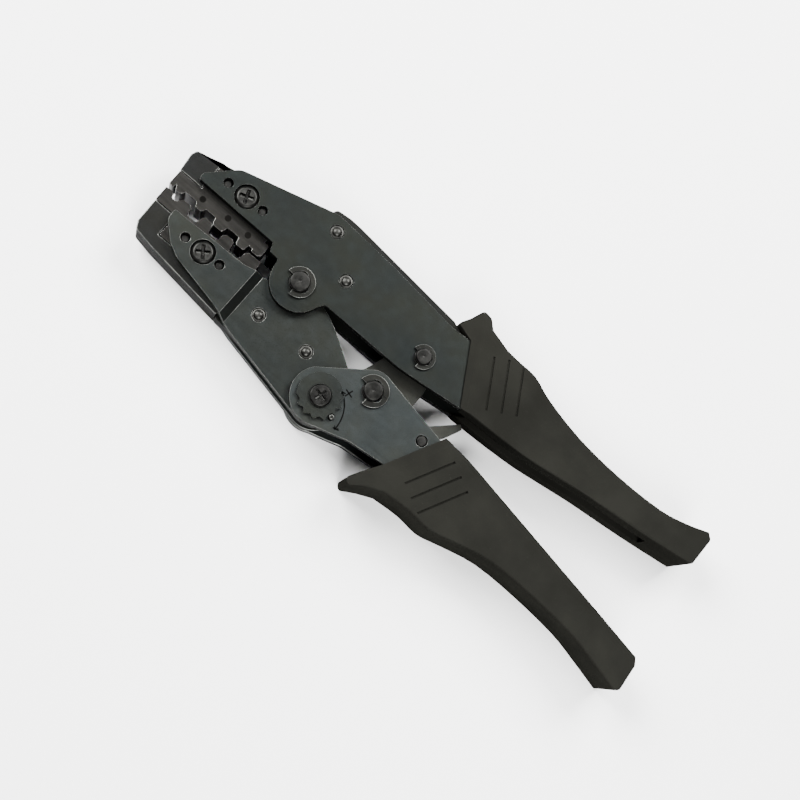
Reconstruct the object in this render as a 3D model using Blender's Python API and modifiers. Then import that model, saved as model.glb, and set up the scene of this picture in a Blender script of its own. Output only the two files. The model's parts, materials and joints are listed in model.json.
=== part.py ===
"""Ratchet crimping plier with exchangeable four-nest dies.

The sizes are in millimetres, measured from the main pivot, with the plier lying flat:
+X runs from the nose to the grips, +Y towards the fixed handle and +Z out of the front
plates. MM turns them into metres. The fixed handle's frame carries the upper die. The moving
jaw turns on the main pivot and carries the lower die. The moving handle turns on the jaw's
tail and is pushed off the frame by a toggle link with a ratchet sector.
"""

import math

import bmesh
import bpy
from mathutils import Matrix, Vector

MM = 0.001
OBJECT_NAME = "ratchet_crimping_plier"
CUTTERS_NAME = "cutters"

# Thickness stack, half values are measured from the middle plane.
GAP = 0.3
CORE_HALF = 5.7
PLATE_THICKNESS = 3.0
GRIP_WALL = 1.7

PLATE_IN = CORE_HALF + GAP
PLATE_OUT = PLATE_IN + PLATE_THICKNESS
TAIL_OUT = PLATE_IN - GAP
TAIL_IN = TAIL_OUT - PLATE_THICKNESS
LINK_HALF = TAIL_IN - GAP
POCKET_HALF = PLATE_OUT + GAP
GRIP_HALF = POCKET_HALF + GRIP_WALL

# Joint axes.
MAIN_PIVOT = (0.0, 0.0)
JAW_TAIL_PIVOT = (30.0, -25.4)
HANDLE_PIVOT = (42.6, -12.3)
LINK_PIVOT = (48.3, 8.3)
PAWL_PIVOT = (66.1, -14.3)

# Pins, rings, rivets and screws.
PIN_CLEARANCE = 0.2
CUT_MARGIN = 1.0
MAIN_PIN_RADIUS = 3.55
HANDLE_PIN_RADIUS = 3.5
LINK_PIN_RADIUS = 2.85
PAWL_PIN_RADIUS = 1.9
ADJUSTER_PIN_RADIUS = 4.2
RING_THICKNESS = 0.8
MAIN_RING_RIM = 1.95
LINK_RING_RIM = 1.55
HANDLE_RING_RIM = 2.25
RING_HALF_MOUTH_DEG = 48.0
PIN_TIP = 0.9
PIN_HEAD_HEIGHT = 1.7
PIN_HEAD_RIM = 1.6
PIN_CHAMFER = 0.35
GROOVE_DEPTH = 0.95
RIVET_RADIUS = 2.3
RIVET_DOME = 0.8
RING_OPENING_DEG = 219.0
DIE_SCREW_HEAD_RADIUS = 4.1
DIE_SCREW_RADIUS = 2.2
DIE_SCREW_HEAD_DEPTH = 2.8
DIE_SCREW_PROUD = 0.15
DIE_SCREW_CHAMFER = 0.85
DIE_RECESS_ARM = 2.3
DIE_RECESS_WIDTH = 0.9
DIE_RECESS_DEPTH = 1.5
UPPER_RECESS_DEG = 20.0
LOWER_RECESS_DEG = 35.0
DOWEL_RADIUS = 1.5
DOWEL_SINK = 1.6

# Boss radii around the joints.
FRAME_EAR_RADIUS = 10.2
JAW_BOSS_RADIUS = 9.8
TAIL_BOSS_RADIUS = 10.0
HANDLE_BOSS_RADIUS = 10.2
HANDLE_SHOULDER_RADIUS = 7.5
LINK_BOSS_RADIUS = 8.6
LINK_FOOT_RADIUS = 8.4
SPINE_CLEARANCE = 0.6
CORE_BOSS_WALL = 4.0

# Ratchet sector on the link and the slot that opens the linkage at the handle pin.
SECTOR_TIP_RADIUS = 16.6
SECTOR_TOOTH_DEPTH = 1.1
SECTOR_FIRST_DEG = 25.0
SECTOR_LAST_DEG = -45.0
SECTOR_TEETH = 12
SLOT_SIDE_PLAY = 0.9
SLOT_OUTWARD_PLAY = 2.2
SLOT_INWARD_PLAY = 0.5
PAWL_STAND_OFF = 1.9
PAWL_BOSS_RADIUS = 3.4

# Adjuster wheel.
ADJUSTER_DISC_RADIUS = 8.1
ADJUSTER_DISC_THICKNESS = 1.1
ADJUSTER_NOTCHES = 14
ADJUSTER_NOTCH_DEPTH = 1.1
ADJUSTER_SCREW_HEAD_RADIUS = 3.9
ADJUSTER_SCREW_HEAD_HEIGHT = 1.1
ADJUSTER_SCREW_RADIUS = 1.5
ADJUSTER_SCREW_LENGTH = 8.0
ADJUSTER_SCREW_CHAMFER = 0.5
ADJUSTER_RECESS_ARM = 2.2
ADJUSTER_RECESS_WIDTH = 0.8
ADJUSTER_RECESS_DEPTH = 0.8
ADJUSTER_RECESS_DEG = 75.0
ADJUSTER_PLAIN_START_DEG = 75.0
ADJUSTER_PLAIN_END_DEG = 215.0
ADJUSTER_NOTCH_HALF_DEG = 1.5
LOCK_PIN_PROUD = 0.3
LOCK_PIN_CHAMFER = 0.2
LOCK_PIN_RADIUS = 0.9
LOCK_PIN_ANGLE_DEG = -22.0

# Springs.
# The wire sizes are radii. A turn rises by the pitch factor times the wire radius or more.
SPRING_PITCH_FACTOR = 2.15
SPRING_POINTS_PER_TURN = 12
PAWL_SPRING_WIRE = 0.35
RETURN_SPRING_WIRE = 0.32
SPRING_CLEARANCE = 0.45
SPRING_LEG = 4.0

# Grips.
GRIP_EDGE_RADIUS = 1.3
GRIP_LIP_DEPTH = 1.3
GRIP_LIP_RUN = 3.3
GRIP_GROOVE_WIDTH = 0.8
GRIP_GROOVE_DEPTH = 0.6
GRIP_GROOVE_PITCH = 5.4
GRIP_GROOVES = 3
GRIP_GROOVE_INSET_LOW = 0.7
GRIP_GROOVE_INSET_HIGH = 4.2
GRIP_MOUTH = 6.0
LIP_CUTTER_WIDTH = 24.0
LIP_CUTTER_HEIGHT = 8.0
GRIP_LENGTH = 96.0
BAR_LENGTH = 81.0
BAR_INSET_BACK = 5.0
BAR_INSET_FRONT = 2.4
GRIP_SLOT_HALF = 4.0
GRIP_SLOT_LENGTH = 80.0
FIXED_GRIP_START = 69.1
MOVING_GRIP_START = 71.9
HANDLE_CORE_START = 12.0
HANDLE_CORE_LENGTH = 34.0
HANDLE_CORE_INSET = 1.0
SPINE_IN_GRIP = 8.0

# Fasteners' places.
FRAME_RIVETS = ((-1.7, 22.4), (11.7, 11.1))
JAW_RIVETS = ((-3.3, -16.9), (16.9, -16.0))
UPPER_SCREW = (-32.4, 11.0)
UPPER_DOWELS = ((-40.1, 10.5), (-25.3, 10.9))
LOWER_SCREW = (-30.9, -13.6)
LOWER_DOWELS = ((-38.5, -13.7), (-24.0, -13.3))

# Die seats.
DIE_TONGUE_LEFT = -46.0
DIE_TONGUE_RIGHT = -18.0
UPPER_TONGUE_TOP = 15.0
LOWER_TONGUE_BOTTOM = -18.0
UPPER_SHOULDER = 3.7
LOWER_SHOULDER = -9.4
UPPER_DIE_FACE = -0.8
LOWER_RIM_LEFT = (-55.0, -3.6)
LOWER_RIM_SLOPE = 0.028
NEST_LIP = 0.9
NEST_CORNER = 1.3

# Where the jaw plates step down from the die cheeks to the tail.
JOGGLE_START = -13.5
JOGGLE_END = -10.5

# Grip sides: distance along the grip as a share of its length, then the Y value.
FIXED_GRIP_BACK = (
    (0.0, 29.6), (0.055, 29.2), (0.14, 28.9), (0.23, 25.8), (0.40, 22.4),
    (0.60, 21.1), (0.79, 21.8), (0.90, 24.2), (0.985, 27.2),
)
FIXED_GRIP_FRONT = (
    (0.0, 3.2), (0.05, 3.3), (0.175, 3.8), (0.31, 4.8), (0.435, 6.6),
    (0.56, 8.4), (0.69, 9.8), (0.825, 11.4), (0.995, 13.8),
)
MOVING_GRIP_BACK = (
    (-0.05, -36.6), (0.06, -35.8), (0.155, -36.4), (0.25, -34.1), (0.39, -31.1),
    (0.57, -30.8), (0.77, -32.1), (0.88, -34.2), (1.015, -37.3),
)
MOVING_GRIP_FRONT = (
    (0.0, -8.2), (0.03, -8.5), (0.115, -9.2), (0.22, -10.8), (0.38, -13.3),
    (0.60, -16.8), (0.81, -20.2), (1.01, -23.5),
)

# Linear colour, roughness and metallic value of each finish.
FINISHES = {
    "plate_steel": ((0.165, 0.175, 0.165), 0.42, 0.9),
    "core_steel": ((0.13, 0.135, 0.13), 0.5, 0.9),
    "die_steel": ((0.22, 0.215, 0.20), 0.35, 0.95),
    "pin_steel": ((0.19, 0.19, 0.175), 0.38, 0.95),
    "spring_steel": ((0.30, 0.30, 0.29), 0.35, 0.95),
    "grip_plastic": ((0.032, 0.032, 0.026), 0.6, 0.0),
}


def arc(centre, radius, start_deg, end_deg, steps):
    """Points of a circular arc, both ends included."""
    points = []
    for index in range(steps + 1):
        angle = math.radians(start_deg + (end_deg - start_deg) * index / steps)
        points.append((centre[0] + radius * math.cos(angle), centre[1] + radius * math.sin(angle)))
    return points


def circle(centre, radius, steps=24):
    """A closed circle, without the repeated end point."""
    return arc(centre, radius, 0.0, 360.0, steps)[:-1]


def capsule(centre, radius, half_in, half_out, direction_deg, steps=12):
    """A slot outline: a circle of the radius stretched both ways along a direction."""
    dx = math.cos(math.radians(direction_deg))
    dy = math.sin(math.radians(direction_deg))
    far = (centre[0] + dx * half_out, centre[1] + dy * half_out)
    near = (centre[0] - dx * half_in, centre[1] - dy * half_in)
    points = arc(far, radius, direction_deg - 90.0, direction_deg + 90.0, steps)
    points += arc(near, radius, direction_deg + 90.0, direction_deg + 270.0, steps)
    return points


def polar(centre, radius, angle_deg):
    """The point at a distance and angle from a centre."""
    angle = math.radians(angle_deg)
    return (centre[0] + radius * math.cos(angle), centre[1] + radius * math.sin(angle))


def rounded(corners, steps=4):
    """A closed outline through corners (x, y, radius), each rounded by its radius."""
    points = []
    count = len(corners)
    for index in range(count):
        x, y, radius = corners[index]
        if radius <= 0.0:
            points.append((x, y))
            continue
        before = corners[index - 1]
        after = corners[(index + 1) % count]
        to_before = (before[0] - x, before[1] - y)
        to_after = (after[0] - x, after[1] - y)
        length_before = math.hypot(*to_before)
        length_after = math.hypot(*to_after)
        unit_before = (to_before[0] / length_before, to_before[1] / length_before)
        unit_after = (to_after[0] / length_after, to_after[1] / length_after)
        cosine = unit_before[0] * unit_after[0] + unit_before[1] * unit_after[1]
        half = 0.5 * math.acos(max(-1.0, min(1.0, cosine)))
        reach = min(radius / math.tan(half), 0.48 * length_before, 0.48 * length_after)
        start = (x + unit_before[0] * reach, y + unit_before[1] * reach)
        end = (x + unit_after[0] * reach, y + unit_after[1] * reach)
        for step in range(steps + 1):
            t = step / steps
            points.append((
                (1 - t) ** 2 * start[0] + 2 * t * (1 - t) * x + t * t * end[0],
                (1 - t) ** 2 * start[1] + 2 * t * (1 - t) * y + t * t * end[1],
            ))
    return points


def smooth(points, spans=3):
    """An open Catmull-Rom curve through the points."""
    padded = [points[0]] + list(points) + [points[-1]]
    result = []
    for index in range(1, len(padded) - 2):
        p0, p1, p2, p3 = padded[index - 1:index + 3]
        for step in range(spans):
            t = step / spans
            result.append(tuple(
                0.5 * (2 * b + (c - a) * t + (2 * a - 5 * b + 4 * c - d) * t * t
                       + (3 * b - a - 3 * c + d) * t ** 3)
                for a, b, c, d in zip(p0, p1, p2, p3)
            ))
    result.append(tuple(points[-1]))
    return result


def sharp(points):
    """Corners with no rounding."""
    return [(x, y, 0.0) for x, y in points]


def grip_side(shares, start, limit, offset):
    """A grip side as points, up to a length along the grip, moved in Y by an offset."""
    points = []
    for share, y in shares:
        if share * GRIP_LENGTH < limit:
            points.append((start + share * GRIP_LENGTH, y + offset))
    below = [pair for pair in shares if pair[0] * GRIP_LENGTH < limit][-1]
    above = [pair for pair in shares if pair[0] * GRIP_LENGTH >= limit]
    if above:
        span = (above[0][0] - below[0]) * GRIP_LENGTH
        part = (limit - below[0] * GRIP_LENGTH) / span
        points.append((start + limit, below[1] + (above[0][1] - below[1]) * part + offset))
    return points


def make_collections():
    """The collection of the parts and the one of the cutters."""
    collections = {}
    for name in (OBJECT_NAME, CUTTERS_NAME):
        collection = bpy.data.collections.new(name)
        bpy.context.scene.collection.children.link(collection)
        collections[name] = collection
    return collections


def own_material(node, finish):
    """The part's own material, in its finish."""
    colour, roughness, metallic = FINISHES[finish]
    material = bpy.data.materials.new(node)
    material.use_nodes = True
    shader = material.node_tree.nodes["Principled BSDF"]
    shader.inputs["Base Color"].default_value = (*colour, 1.0)
    shader.inputs["Roughness"].default_value = roughness
    shader.inputs["Metallic"].default_value = metallic
    return material


def add_empty(name, place, parent=None):
    """An empty on a joint axis."""
    empty = bpy.data.objects.new(name, None)
    bpy.data.collections[OBJECT_NAME].objects.link(empty)
    empty["design_place"] = (place[0], place[1])
    offset = (0.0, 0.0)
    if parent is not None:
        empty.parent = parent
        offset = parent["design_place"]
    empty.location = ((place[0] - offset[0]) * MM, (place[1] - offset[1]) * MM, 0.0)
    return empty


def finish_part(part, parent, finish):
    """Parent a part modelled in the plier's own frame, and give it its material."""
    place = parent["design_place"]
    part.parent = parent
    part.location.x -= place[0] * MM
    part.location.y -= place[1] * MM
    part.data.materials.append(own_material(part.name, finish))
    return part


def mesh_object(name, mesh, collection=OBJECT_NAME):
    """A mesh object in a collection."""
    item = bpy.data.objects.new(name, mesh)
    bpy.data.collections[collection].objects.link(item)
    return item


def curve_to_mesh(item):
    """Turn a curve object into a mesh object of the same name, with its caps welded."""
    name = item.name
    depsgraph = bpy.context.evaluated_depsgraph_get()
    mesh = bpy.data.meshes.new_from_object(item.evaluated_get(depsgraph))
    work = bmesh.new()
    work.from_mesh(mesh)
    bmesh.ops.remove_doubles(work, verts=work.verts, dist=0.02 * MM)
    bmesh.ops.dissolve_limit(work, angle_limit=0.002, verts=work.verts, edges=work.edges)
    bmesh.ops.recalc_face_normals(work, faces=work.faces)
    work.to_mesh(mesh)
    work.free()
    place = item.matrix_world.copy()
    collection = item.users_collection[0]
    bpy.data.objects.remove(item)
    result = bpy.data.objects.new(name, mesh)
    collection.objects.link(result)
    result.matrix_world = place
    return result


def round_caps(item, radius):
    """Round the edges between the flat faces and the sides."""
    work = bmesh.new()
    work.from_mesh(item.data)
    edges = []
    for edge in work.edges:
        slopes = sorted(abs(face.normal.z) for face in edge.link_faces)
        if slopes[0] < 0.1 and slopes[1] > 0.9:
            edges.append(edge)
    bmesh.ops.bevel(work, geom=edges, offset=radius * MM, segments=3, affect="EDGES",
                    profile=0.5, clamp_overlap=True)
    work.to_mesh(item.data)
    work.free()


def add_plate(name, outline, holes, low, high, collection=OBJECT_NAME):
    """A flat solid between two heights, with holes through it."""
    curve = bpy.data.curves.new(name, "CURVE")
    curve.dimensions = "2D"
    curve.fill_mode = "BOTH"
    curve.extrude = 0.5 * (high - low) * MM
    for loop in [outline] + list(holes):
        spline = curve.splines.new("POLY")
        spline.points.add(len(loop) - 1)
        for point, (x, y) in zip(spline.points, loop):
            point.co = (x * MM, y * MM, 0.0, 1.0)
        spline.use_cyclic_u = True
    item = bpy.data.objects.new(name, curve)
    bpy.data.collections[collection].objects.link(item)
    item.location.z = 0.5 * (high + low) * MM
    bpy.context.view_layer.update()
    return curve_to_mesh(item)


def add_turned(name, profile, place, steps=24, collection=OBJECT_NAME):
    """A turned solid from a profile of (radius, height), run from its top to its bottom."""
    mesh = bpy.data.meshes.new(name)
    vertices = [(radius * MM, 0.0, height * MM) for radius, height in profile]
    edges = [(index, index + 1) for index in range(len(vertices) - 1)]
    mesh.from_pydata(vertices, edges, [])
    item = mesh_object(name, mesh, collection)
    item.location = (place[0] * MM, place[1] * MM, 0.0)
    screw = item.modifiers.new("turn", "SCREW")
    screw.axis = "Z"
    screw.angle = math.tau
    screw.steps = steps
    screw.render_steps = steps
    screw.use_merge_vertices = True
    screw.merge_threshold = 0.01 * MM
    return item


def cut(target, cutter):
    """Subtract a cutter from a target, and let it follow the target."""
    bpy.context.view_layer.update()
    cutter.parent = target
    cutter.matrix_parent_inverse = target.matrix_world.inverted()
    cutter.hide_render = True
    cutter.display_type = "WIRE"
    boolean = target.modifiers.new("cut", "BOOLEAN")
    boolean.operation = "DIFFERENCE"
    boolean.solver = "EXACT"
    boolean.object = cutter


def cross_cutter(name, place, arm, width, low, high, turn_deg):
    """A four-armed cutter for a cross recess, from one height to above another."""
    half = 0.5 * width
    corners = [
        (arm, half), (half, half), (half, arm), (-half, arm), (-half, half), (-arm, half),
        (-arm, -half), (-half, -half), (-half, -arm), (half, -arm), (half, -half), (arm, -half),
    ]
    turn = math.radians(turn_deg)
    outline = []
    for x, y in corners:
        outline.append((
            place[0] + x * math.cos(turn) - y * math.sin(turn),
            place[1] + x * math.sin(turn) + y * math.cos(turn),
        ))
    return add_plate(name, outline, (), low, high, collection=CUTTERS_NAME)


def ring_outline(place, inner, outer, opening_deg):
    """An E-shaped retaining ring: three prongs grip the groove, the mouth is open."""
    steps = 26
    start = opening_deg + RING_HALF_MOUTH_DEG
    end = opening_deg + 360.0 - RING_HALF_MOUTH_DEG
    points = arc(place, outer, start, end, steps)
    relief = 0.45 * (outer - inner)
    for index in range(steps + 1):
        angle = end + (start - end) * index / steps
        swell = 0.5 + 0.5 * math.cos(math.radians(3.0 * (angle - opening_deg)))
        points.append(polar(place, inner + relief * swell, angle))
    return points


def add_pin(name, place, radius, parent):
    """A pin with a head behind the rear plate and a ring groove in front of the front plate."""
    top = PLATE_OUT + GAP + RING_THICKNESS + GAP + PIN_TIP
    groove_low = PLATE_OUT
    groove_high = PLATE_OUT + GAP + RING_THICKNESS + GAP
    groove = radius - GROOVE_DEPTH
    head_top = -(PLATE_OUT + GAP)
    profile = [
        (0.0, top), (radius - PIN_CHAMFER, top), (radius, top - PIN_CHAMFER), (radius, groove_high),
        (groove, groove_high), (groove, groove_low), (radius, groove_low), (radius, head_top),
        (radius + PIN_HEAD_RIM, head_top),
        (radius + PIN_HEAD_RIM, head_top - PIN_HEAD_HEIGHT + PIN_CHAMFER),
        (radius + PIN_HEAD_RIM - PIN_CHAMFER, head_top - PIN_HEAD_HEIGHT),
        (0.0, head_top - PIN_HEAD_HEIGHT),
    ]
    pin = add_turned(name, profile, place)
    return finish_part(pin, parent, "pin_steel")


def add_ring(name, place, pin_radius, rim, parent):
    """The retaining ring in a pin's groove, wider than the pin by its rim."""
    inner = pin_radius - GROOVE_DEPTH + GAP
    outer = pin_radius + rim
    low = PLATE_OUT + GAP
    ring = add_plate(name, ring_outline(place, inner, outer, RING_OPENING_DEG), (),
                     low, low + RING_THICKNESS)
    return finish_part(ring, parent, "pin_steel")


def dome_profile(radius, face, dome):
    """Half the profile of a rivet: a domed end above a face height."""
    points = []
    for index in range(5):
        angle = math.radians(90.0 - 90.0 * index / 4)
        points.append((radius * math.cos(angle), face + dome * math.sin(angle)))
    return points


def add_rivets(name, places, face, parent):
    """Rivets with a dome on both faces."""
    upper = dome_profile(RIVET_RADIUS, face, RIVET_DOME)
    lower = [(radius, -height) for radius, height in reversed(upper)]
    for number, place in enumerate(places, start=1):
        rivet = add_turned(f"{name}_{number}", upper + lower, place, steps=20)
        finish_part(rivet, parent, "pin_steel")


def add_die_screw(name, place, parent, turn_deg):
    """A cross-recess screw whose head sits in the front plate's counterbore."""
    top = PLATE_OUT + DIE_SCREW_PROUD
    shoulder = top - DIE_SCREW_HEAD_DEPTH
    profile = [
        (0.0, top), (DIE_SCREW_HEAD_RADIUS - DIE_SCREW_CHAMFER, top),
        (DIE_SCREW_HEAD_RADIUS, top - DIE_SCREW_CHAMFER),
        (DIE_SCREW_HEAD_RADIUS, shoulder), (DIE_SCREW_RADIUS, shoulder),
        (DIE_SCREW_RADIUS, -PLATE_OUT), (0.0, -PLATE_OUT),
    ]
    screw = add_turned(name, profile, place)
    recess = cross_cutter(f"{name}_recess", place, DIE_RECESS_ARM, DIE_RECESS_WIDTH,
                           top - DIE_RECESS_DEPTH, top + CUT_MARGIN, turn_deg)
    cut(screw, recess)
    return finish_part(screw, parent, "pin_steel")


def add_dowels(name, places, parent):
    """Dowel pins between a die and the plates, sunk below the front face."""
    high = PLATE_OUT - DOWEL_SINK
    profile = [(0.0, high), (DOWEL_RADIUS, high), (DOWEL_RADIUS, -high), (0.0, -high)]
    for number, place in enumerate(places, start=1):
        dowel = add_turned(f"{name}_{number}", profile, place, steps=16)
        finish_part(dowel, parent, "pin_steel")


def hole(place, radius):
    """A round hole with the running clearance."""
    return circle(place, radius + PIN_CLEARANCE)


def screw_holes(place, front):
    """The screw's hole in a plate: a counterbore in front, a clearance hole behind."""
    if front:
        return circle(place, DIE_SCREW_HEAD_RADIUS + GAP)
    return circle(place, DIE_SCREW_RADIUS + GAP, 20)


def die_holes(screw, dowels):
    """The holes through a die for its screw and its dowels."""
    holes = [circle(screw, DIE_SCREW_RADIUS + GAP, 20)]
    for dowel in dowels:
        holes.append(circle(dowel, DOWEL_RADIUS + GAP, 16))
    return holes


def frame_plate_outline():
    """The fixed handle's plate, from the die edge over the nose and back to the ear."""
    bar = BAR_LENGTH
    top = grip_side(FIXED_GRIP_BACK[1:], FIXED_GRIP_START, bar, -BAR_INSET_BACK)
    bottom = grip_side(FIXED_GRIP_FRONT[1:], FIXED_GRIP_START, bar, BAR_INSET_FRONT)
    corners = [
        (-48.2, 5.1, 0.6), (-48.7, 7.2, 1.5), (-39.9, 17.0, 6.0), (-5.0, 27.5, 9.0),
        (20.0, 26.2, 20.0), (50.0, 23.3, 20.0), (57.3, 23.9, 0.0),
    ]
    corners += sharp(top) + sharp(reversed(bottom))
    corners += [(69.1, 3.2, 0.0), (52.9, 1.0, 10.0), (44.0, 0.0, 10.0), (11.6, 0.0, 1.6)]
    corners += sharp(arc(MAIN_PIVOT, FRAME_EAR_RADIUS, -14.0, -172.0, 26))
    corners += [(-10.6, 1.5, 1.0), (-14.4, 1.7, 1.0), (-15.6, 4.8, 0.6)]
    return rounded(corners)


def add_frame_plates(root):
    """The fixed handle's two side plates."""
    outline = frame_plate_outline()
    for side, name in ((1, "front_frame_plate"), (-1, "rear_frame_plate")):
        holes = [hole(MAIN_PIVOT, MAIN_PIN_RADIUS), hole(LINK_PIVOT, LINK_PIN_RADIUS)]
        holes += [hole(place, RIVET_RADIUS) for place in FRAME_RIVETS]
        holes += [circle(place, DOWEL_RADIUS + GAP, 16) for place in UPPER_DOWELS]
        holes.append(screw_holes(UPPER_SCREW, side > 0))
        low, high = sorted((side * PLATE_IN, side * PLATE_OUT))
        plate = add_plate(name, outline, holes, low, high)
        finish_part(plate, root, "plate_steel")


def add_spine(root):
    """The spacer between the frame plates, which stands proud of their upper edges."""
    boss = JAW_BOSS_RADIUS + SPINE_CLEARANCE
    link = LINK_BOSS_RADIUS + SPINE_CLEARANCE
    end_x = FIXED_GRIP_START + SPINE_IN_GRIP
    corners = [(-7.6, 27.2, 0.8), (-6.6, 29.6, 1.6), (-1.1, 30.2, 6.0), (3.4, 30.1, 8.0)]
    corners += [(22.2, 28.6, 20.0), (49.0, 26.5, 0.0), (57.0, 23.3, 0.0), (end_x, 22.4, 0.0)]
    corners += [(end_x, 18.3, 0.0)]
    corners += sharp(arc(LINK_PIVOT, link, 72.0, 150.0, 10))
    corners += [(30.0, 12.0, 6.0), (20.0, 6.8, 4.0)]
    corners += sharp(arc(MAIN_PIVOT, boss, 35.0, 118.0, 12))
    corners += [(-7.6, 14.0, 1.5)]
    holes = [hole(place, RIVET_RADIUS) for place in FRAME_RIVETS]
    spine = add_plate("frame_spine", rounded(corners), holes, -CORE_HALF, CORE_HALF)
    finish_part(spine, root, "core_steel")


def add_upper_nose_block(root):
    """The block between the frame plates around the upper die's tongue."""
    left = DIE_TONGUE_LEFT - GAP
    right = DIE_TONGUE_RIGHT + GAP
    top = UPPER_TONGUE_TOP + GAP
    corners = [
        (-55.5, 4.0, 0.3), (-56.4, 10.6, 1.0), (-55.6, 13.0, 1.8), (-42.1, 16.3, 4.0),
        (-11.5, 25.3, 0.6), (-11.5, 6.0, 0.6), (right, 6.0, 0.3), (right, top, 0.3),
        (left, top, 0.3), (left, 4.0, 0.0),
    ]
    block = add_plate("upper_nose_block", rounded(corners), (), -CORE_HALF, CORE_HALF)
    finish_part(block, root, "core_steel")


def add_upper_die(root):
    """The upper die: a tongue between the plates and four pressing teeth."""
    shoulder = UPPER_SHOULDER
    face = UPPER_DIE_FACE
    corners = [
        (DIE_TONGUE_LEFT, shoulder, 0.0), (-55.3, shoulder, 0.5), (-55.2, -2.2, 0.4),
        (-53.3, -2.2, 0.3), (-53.2, face, 0.3),
    ]
    teeth = ((-52.4, -49.6, -2.5), (-43.7, -40.6, -2.6), (-35.4, -31.0, -3.3), (-25.1, -21.7, -3.3))
    for left, right, bottom in teeth:
        corners += [(left - 0.5, face, 0.3), (left, bottom + 0.6, 0.5), (left + 0.5, bottom, 0.3)]
        corners += [(right - 0.5, bottom, 0.3), (right, bottom + 0.6, 0.5), (right + 0.5, face, 0.3)]
    corners += [
        (-19.7, face, 0.3), (-19.4, -1.7, 0.3), (-16.8, -1.7, 0.3), (-15.8, -0.4, 0.3),
        (-16.0, shoulder, 0.5), (DIE_TONGUE_RIGHT, shoulder, 0.0),
        (DIE_TONGUE_RIGHT, UPPER_TONGUE_TOP, 0.6), (DIE_TONGUE_LEFT, UPPER_TONGUE_TOP, 0.6),
    ]
    die = add_plate("upper_die", rounded(corners), die_holes(UPPER_SCREW, UPPER_DOWELS),
                    -CORE_HALF, CORE_HALF)
    finish_part(die, root, "die_steel")


def jaw_height(x, z):
    """Lower the plate behind the cheek: full shift past the joggle, none before it."""
    share = (x - JOGGLE_START) / (JOGGLE_END - JOGGLE_START)
    return z - (PLATE_OUT - TAIL_OUT) * max(0.0, min(1.0, share))


def add_jaw_plates(jaw):
    """The moving jaw's two plates, raised as cheeks and stepped down at the tail."""
    corners = [(-47.3, -8.6, 0.8), (-17.6, -7.7, 3.0), (-14.0, -6.6, 2.0)]
    corners += sharp(arc(MAIN_PIVOT, JAW_BOSS_RADIUS, 214.0, 2.0, 30))
    corners += [(14.6, -1.1, 6.0), (20.7, -4.1, 12.0), (31.2, -10.8, 2.0)]
    corners += sharp(arc(JAW_TAIL_PIVOT, TAIL_BOSS_RADIUS, 46.0, -108.0, 22))
    corners += [
        (21.0, -33.7, 14.0), (-6.5, -27.9, 10.0), (-17.5, -24.7, 8.0), (-36.0, -20.9, 5.0),
        (-41.0, -18.4, 8.0), (-47.2, -12.6, 4.0),
    ]
    outline = rounded(corners)
    for side, name in ((1, "front_jaw_plate"), (-1, "rear_jaw_plate")):
        holes = [hole(MAIN_PIVOT, MAIN_PIN_RADIUS), hole(JAW_TAIL_PIVOT, ADJUSTER_PIN_RADIUS)]
        holes += [hole(place, RIVET_RADIUS) for place in JAW_RIVETS]
        holes += [circle(place, DOWEL_RADIUS + GAP, 16) for place in LOWER_DOWELS]
        holes.append(screw_holes(LOWER_SCREW, side > 0))
        plate = add_plate(name, outline, holes, PLATE_IN, PLATE_OUT)
        middle = 0.5 * (PLATE_IN + PLATE_OUT)
        work = bmesh.new()
        work.from_mesh(plate.data)
        for x in (JOGGLE_START, JOGGLE_END):
            geometry = list(work.verts) + list(work.edges) + list(work.faces)
            bmesh.ops.bisect_plane(work, geom=geometry, dist=0.001 * MM,
                                   plane_co=(x * MM, 0.0, 0.0), plane_no=(1.0, 0.0, 0.0))
        bmesh.ops.triangulate(work, faces=work.faces)
        for vertex in work.verts:
            height = jaw_height(vertex.co.x / MM, vertex.co.z / MM + middle)
            vertex.co.z = side * height * MM
        if side < 0:
            bmesh.ops.reverse_faces(work, faces=work.faces)
        work.to_mesh(plate.data)
        work.free()
        plate.location.z = 0.0
        finish_part(plate, jaw, "plate_steel")


def add_jaw_blocks(jaw):
    """The block around the lower die's tongue and the thinner core in the tail."""
    left = DIE_TONGUE_LEFT - GAP
    right = DIE_TONGUE_RIGHT + GAP
    bottom = LOWER_TONGUE_BOTTOM - GAP
    nose = [
        (left, -9.7, 0.0), (-54.8, -9.7, 0.3), (-54.5, -19.0, 1.0), (-53.0, -21.6, 1.8),
        (-45.8, -22.9, 3.0), (-14.3, -26.4, 0.6), (-14.3, -8.5, 0.6), (right, -8.5, 0.3),
        (right, bottom, 0.3), (left, bottom, 0.3),
    ]
    block = add_plate("lower_nose_block", rounded(nose), (), -CORE_HALF, CORE_HALF)
    finish_part(block, jaw, "core_steel")
    tail = [(-14.0, -8.5, 0.6)]
    tail += sharp(arc(MAIN_PIVOT, MAIN_PIN_RADIUS + CORE_BOSS_WALL, 215.0, 10.0, 14))
    tail += [(14.0, -5.0, 3.0), (22.0, -9.5, 3.0), (22.0, -31.0, 3.0), (-6.5, -27.6, 8.0)]
    tail += [(-14.0, -26.6, 0.6)]
    holes = [hole(place, RIVET_RADIUS) for place in JAW_RIVETS]
    holes.append(hole(MAIN_PIVOT, MAIN_PIN_RADIUS))
    core = add_plate("jaw_core", rounded(tail), holes, -LINK_HALF, LINK_HALF)
    finish_part(core, jaw, "core_steel")


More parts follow.
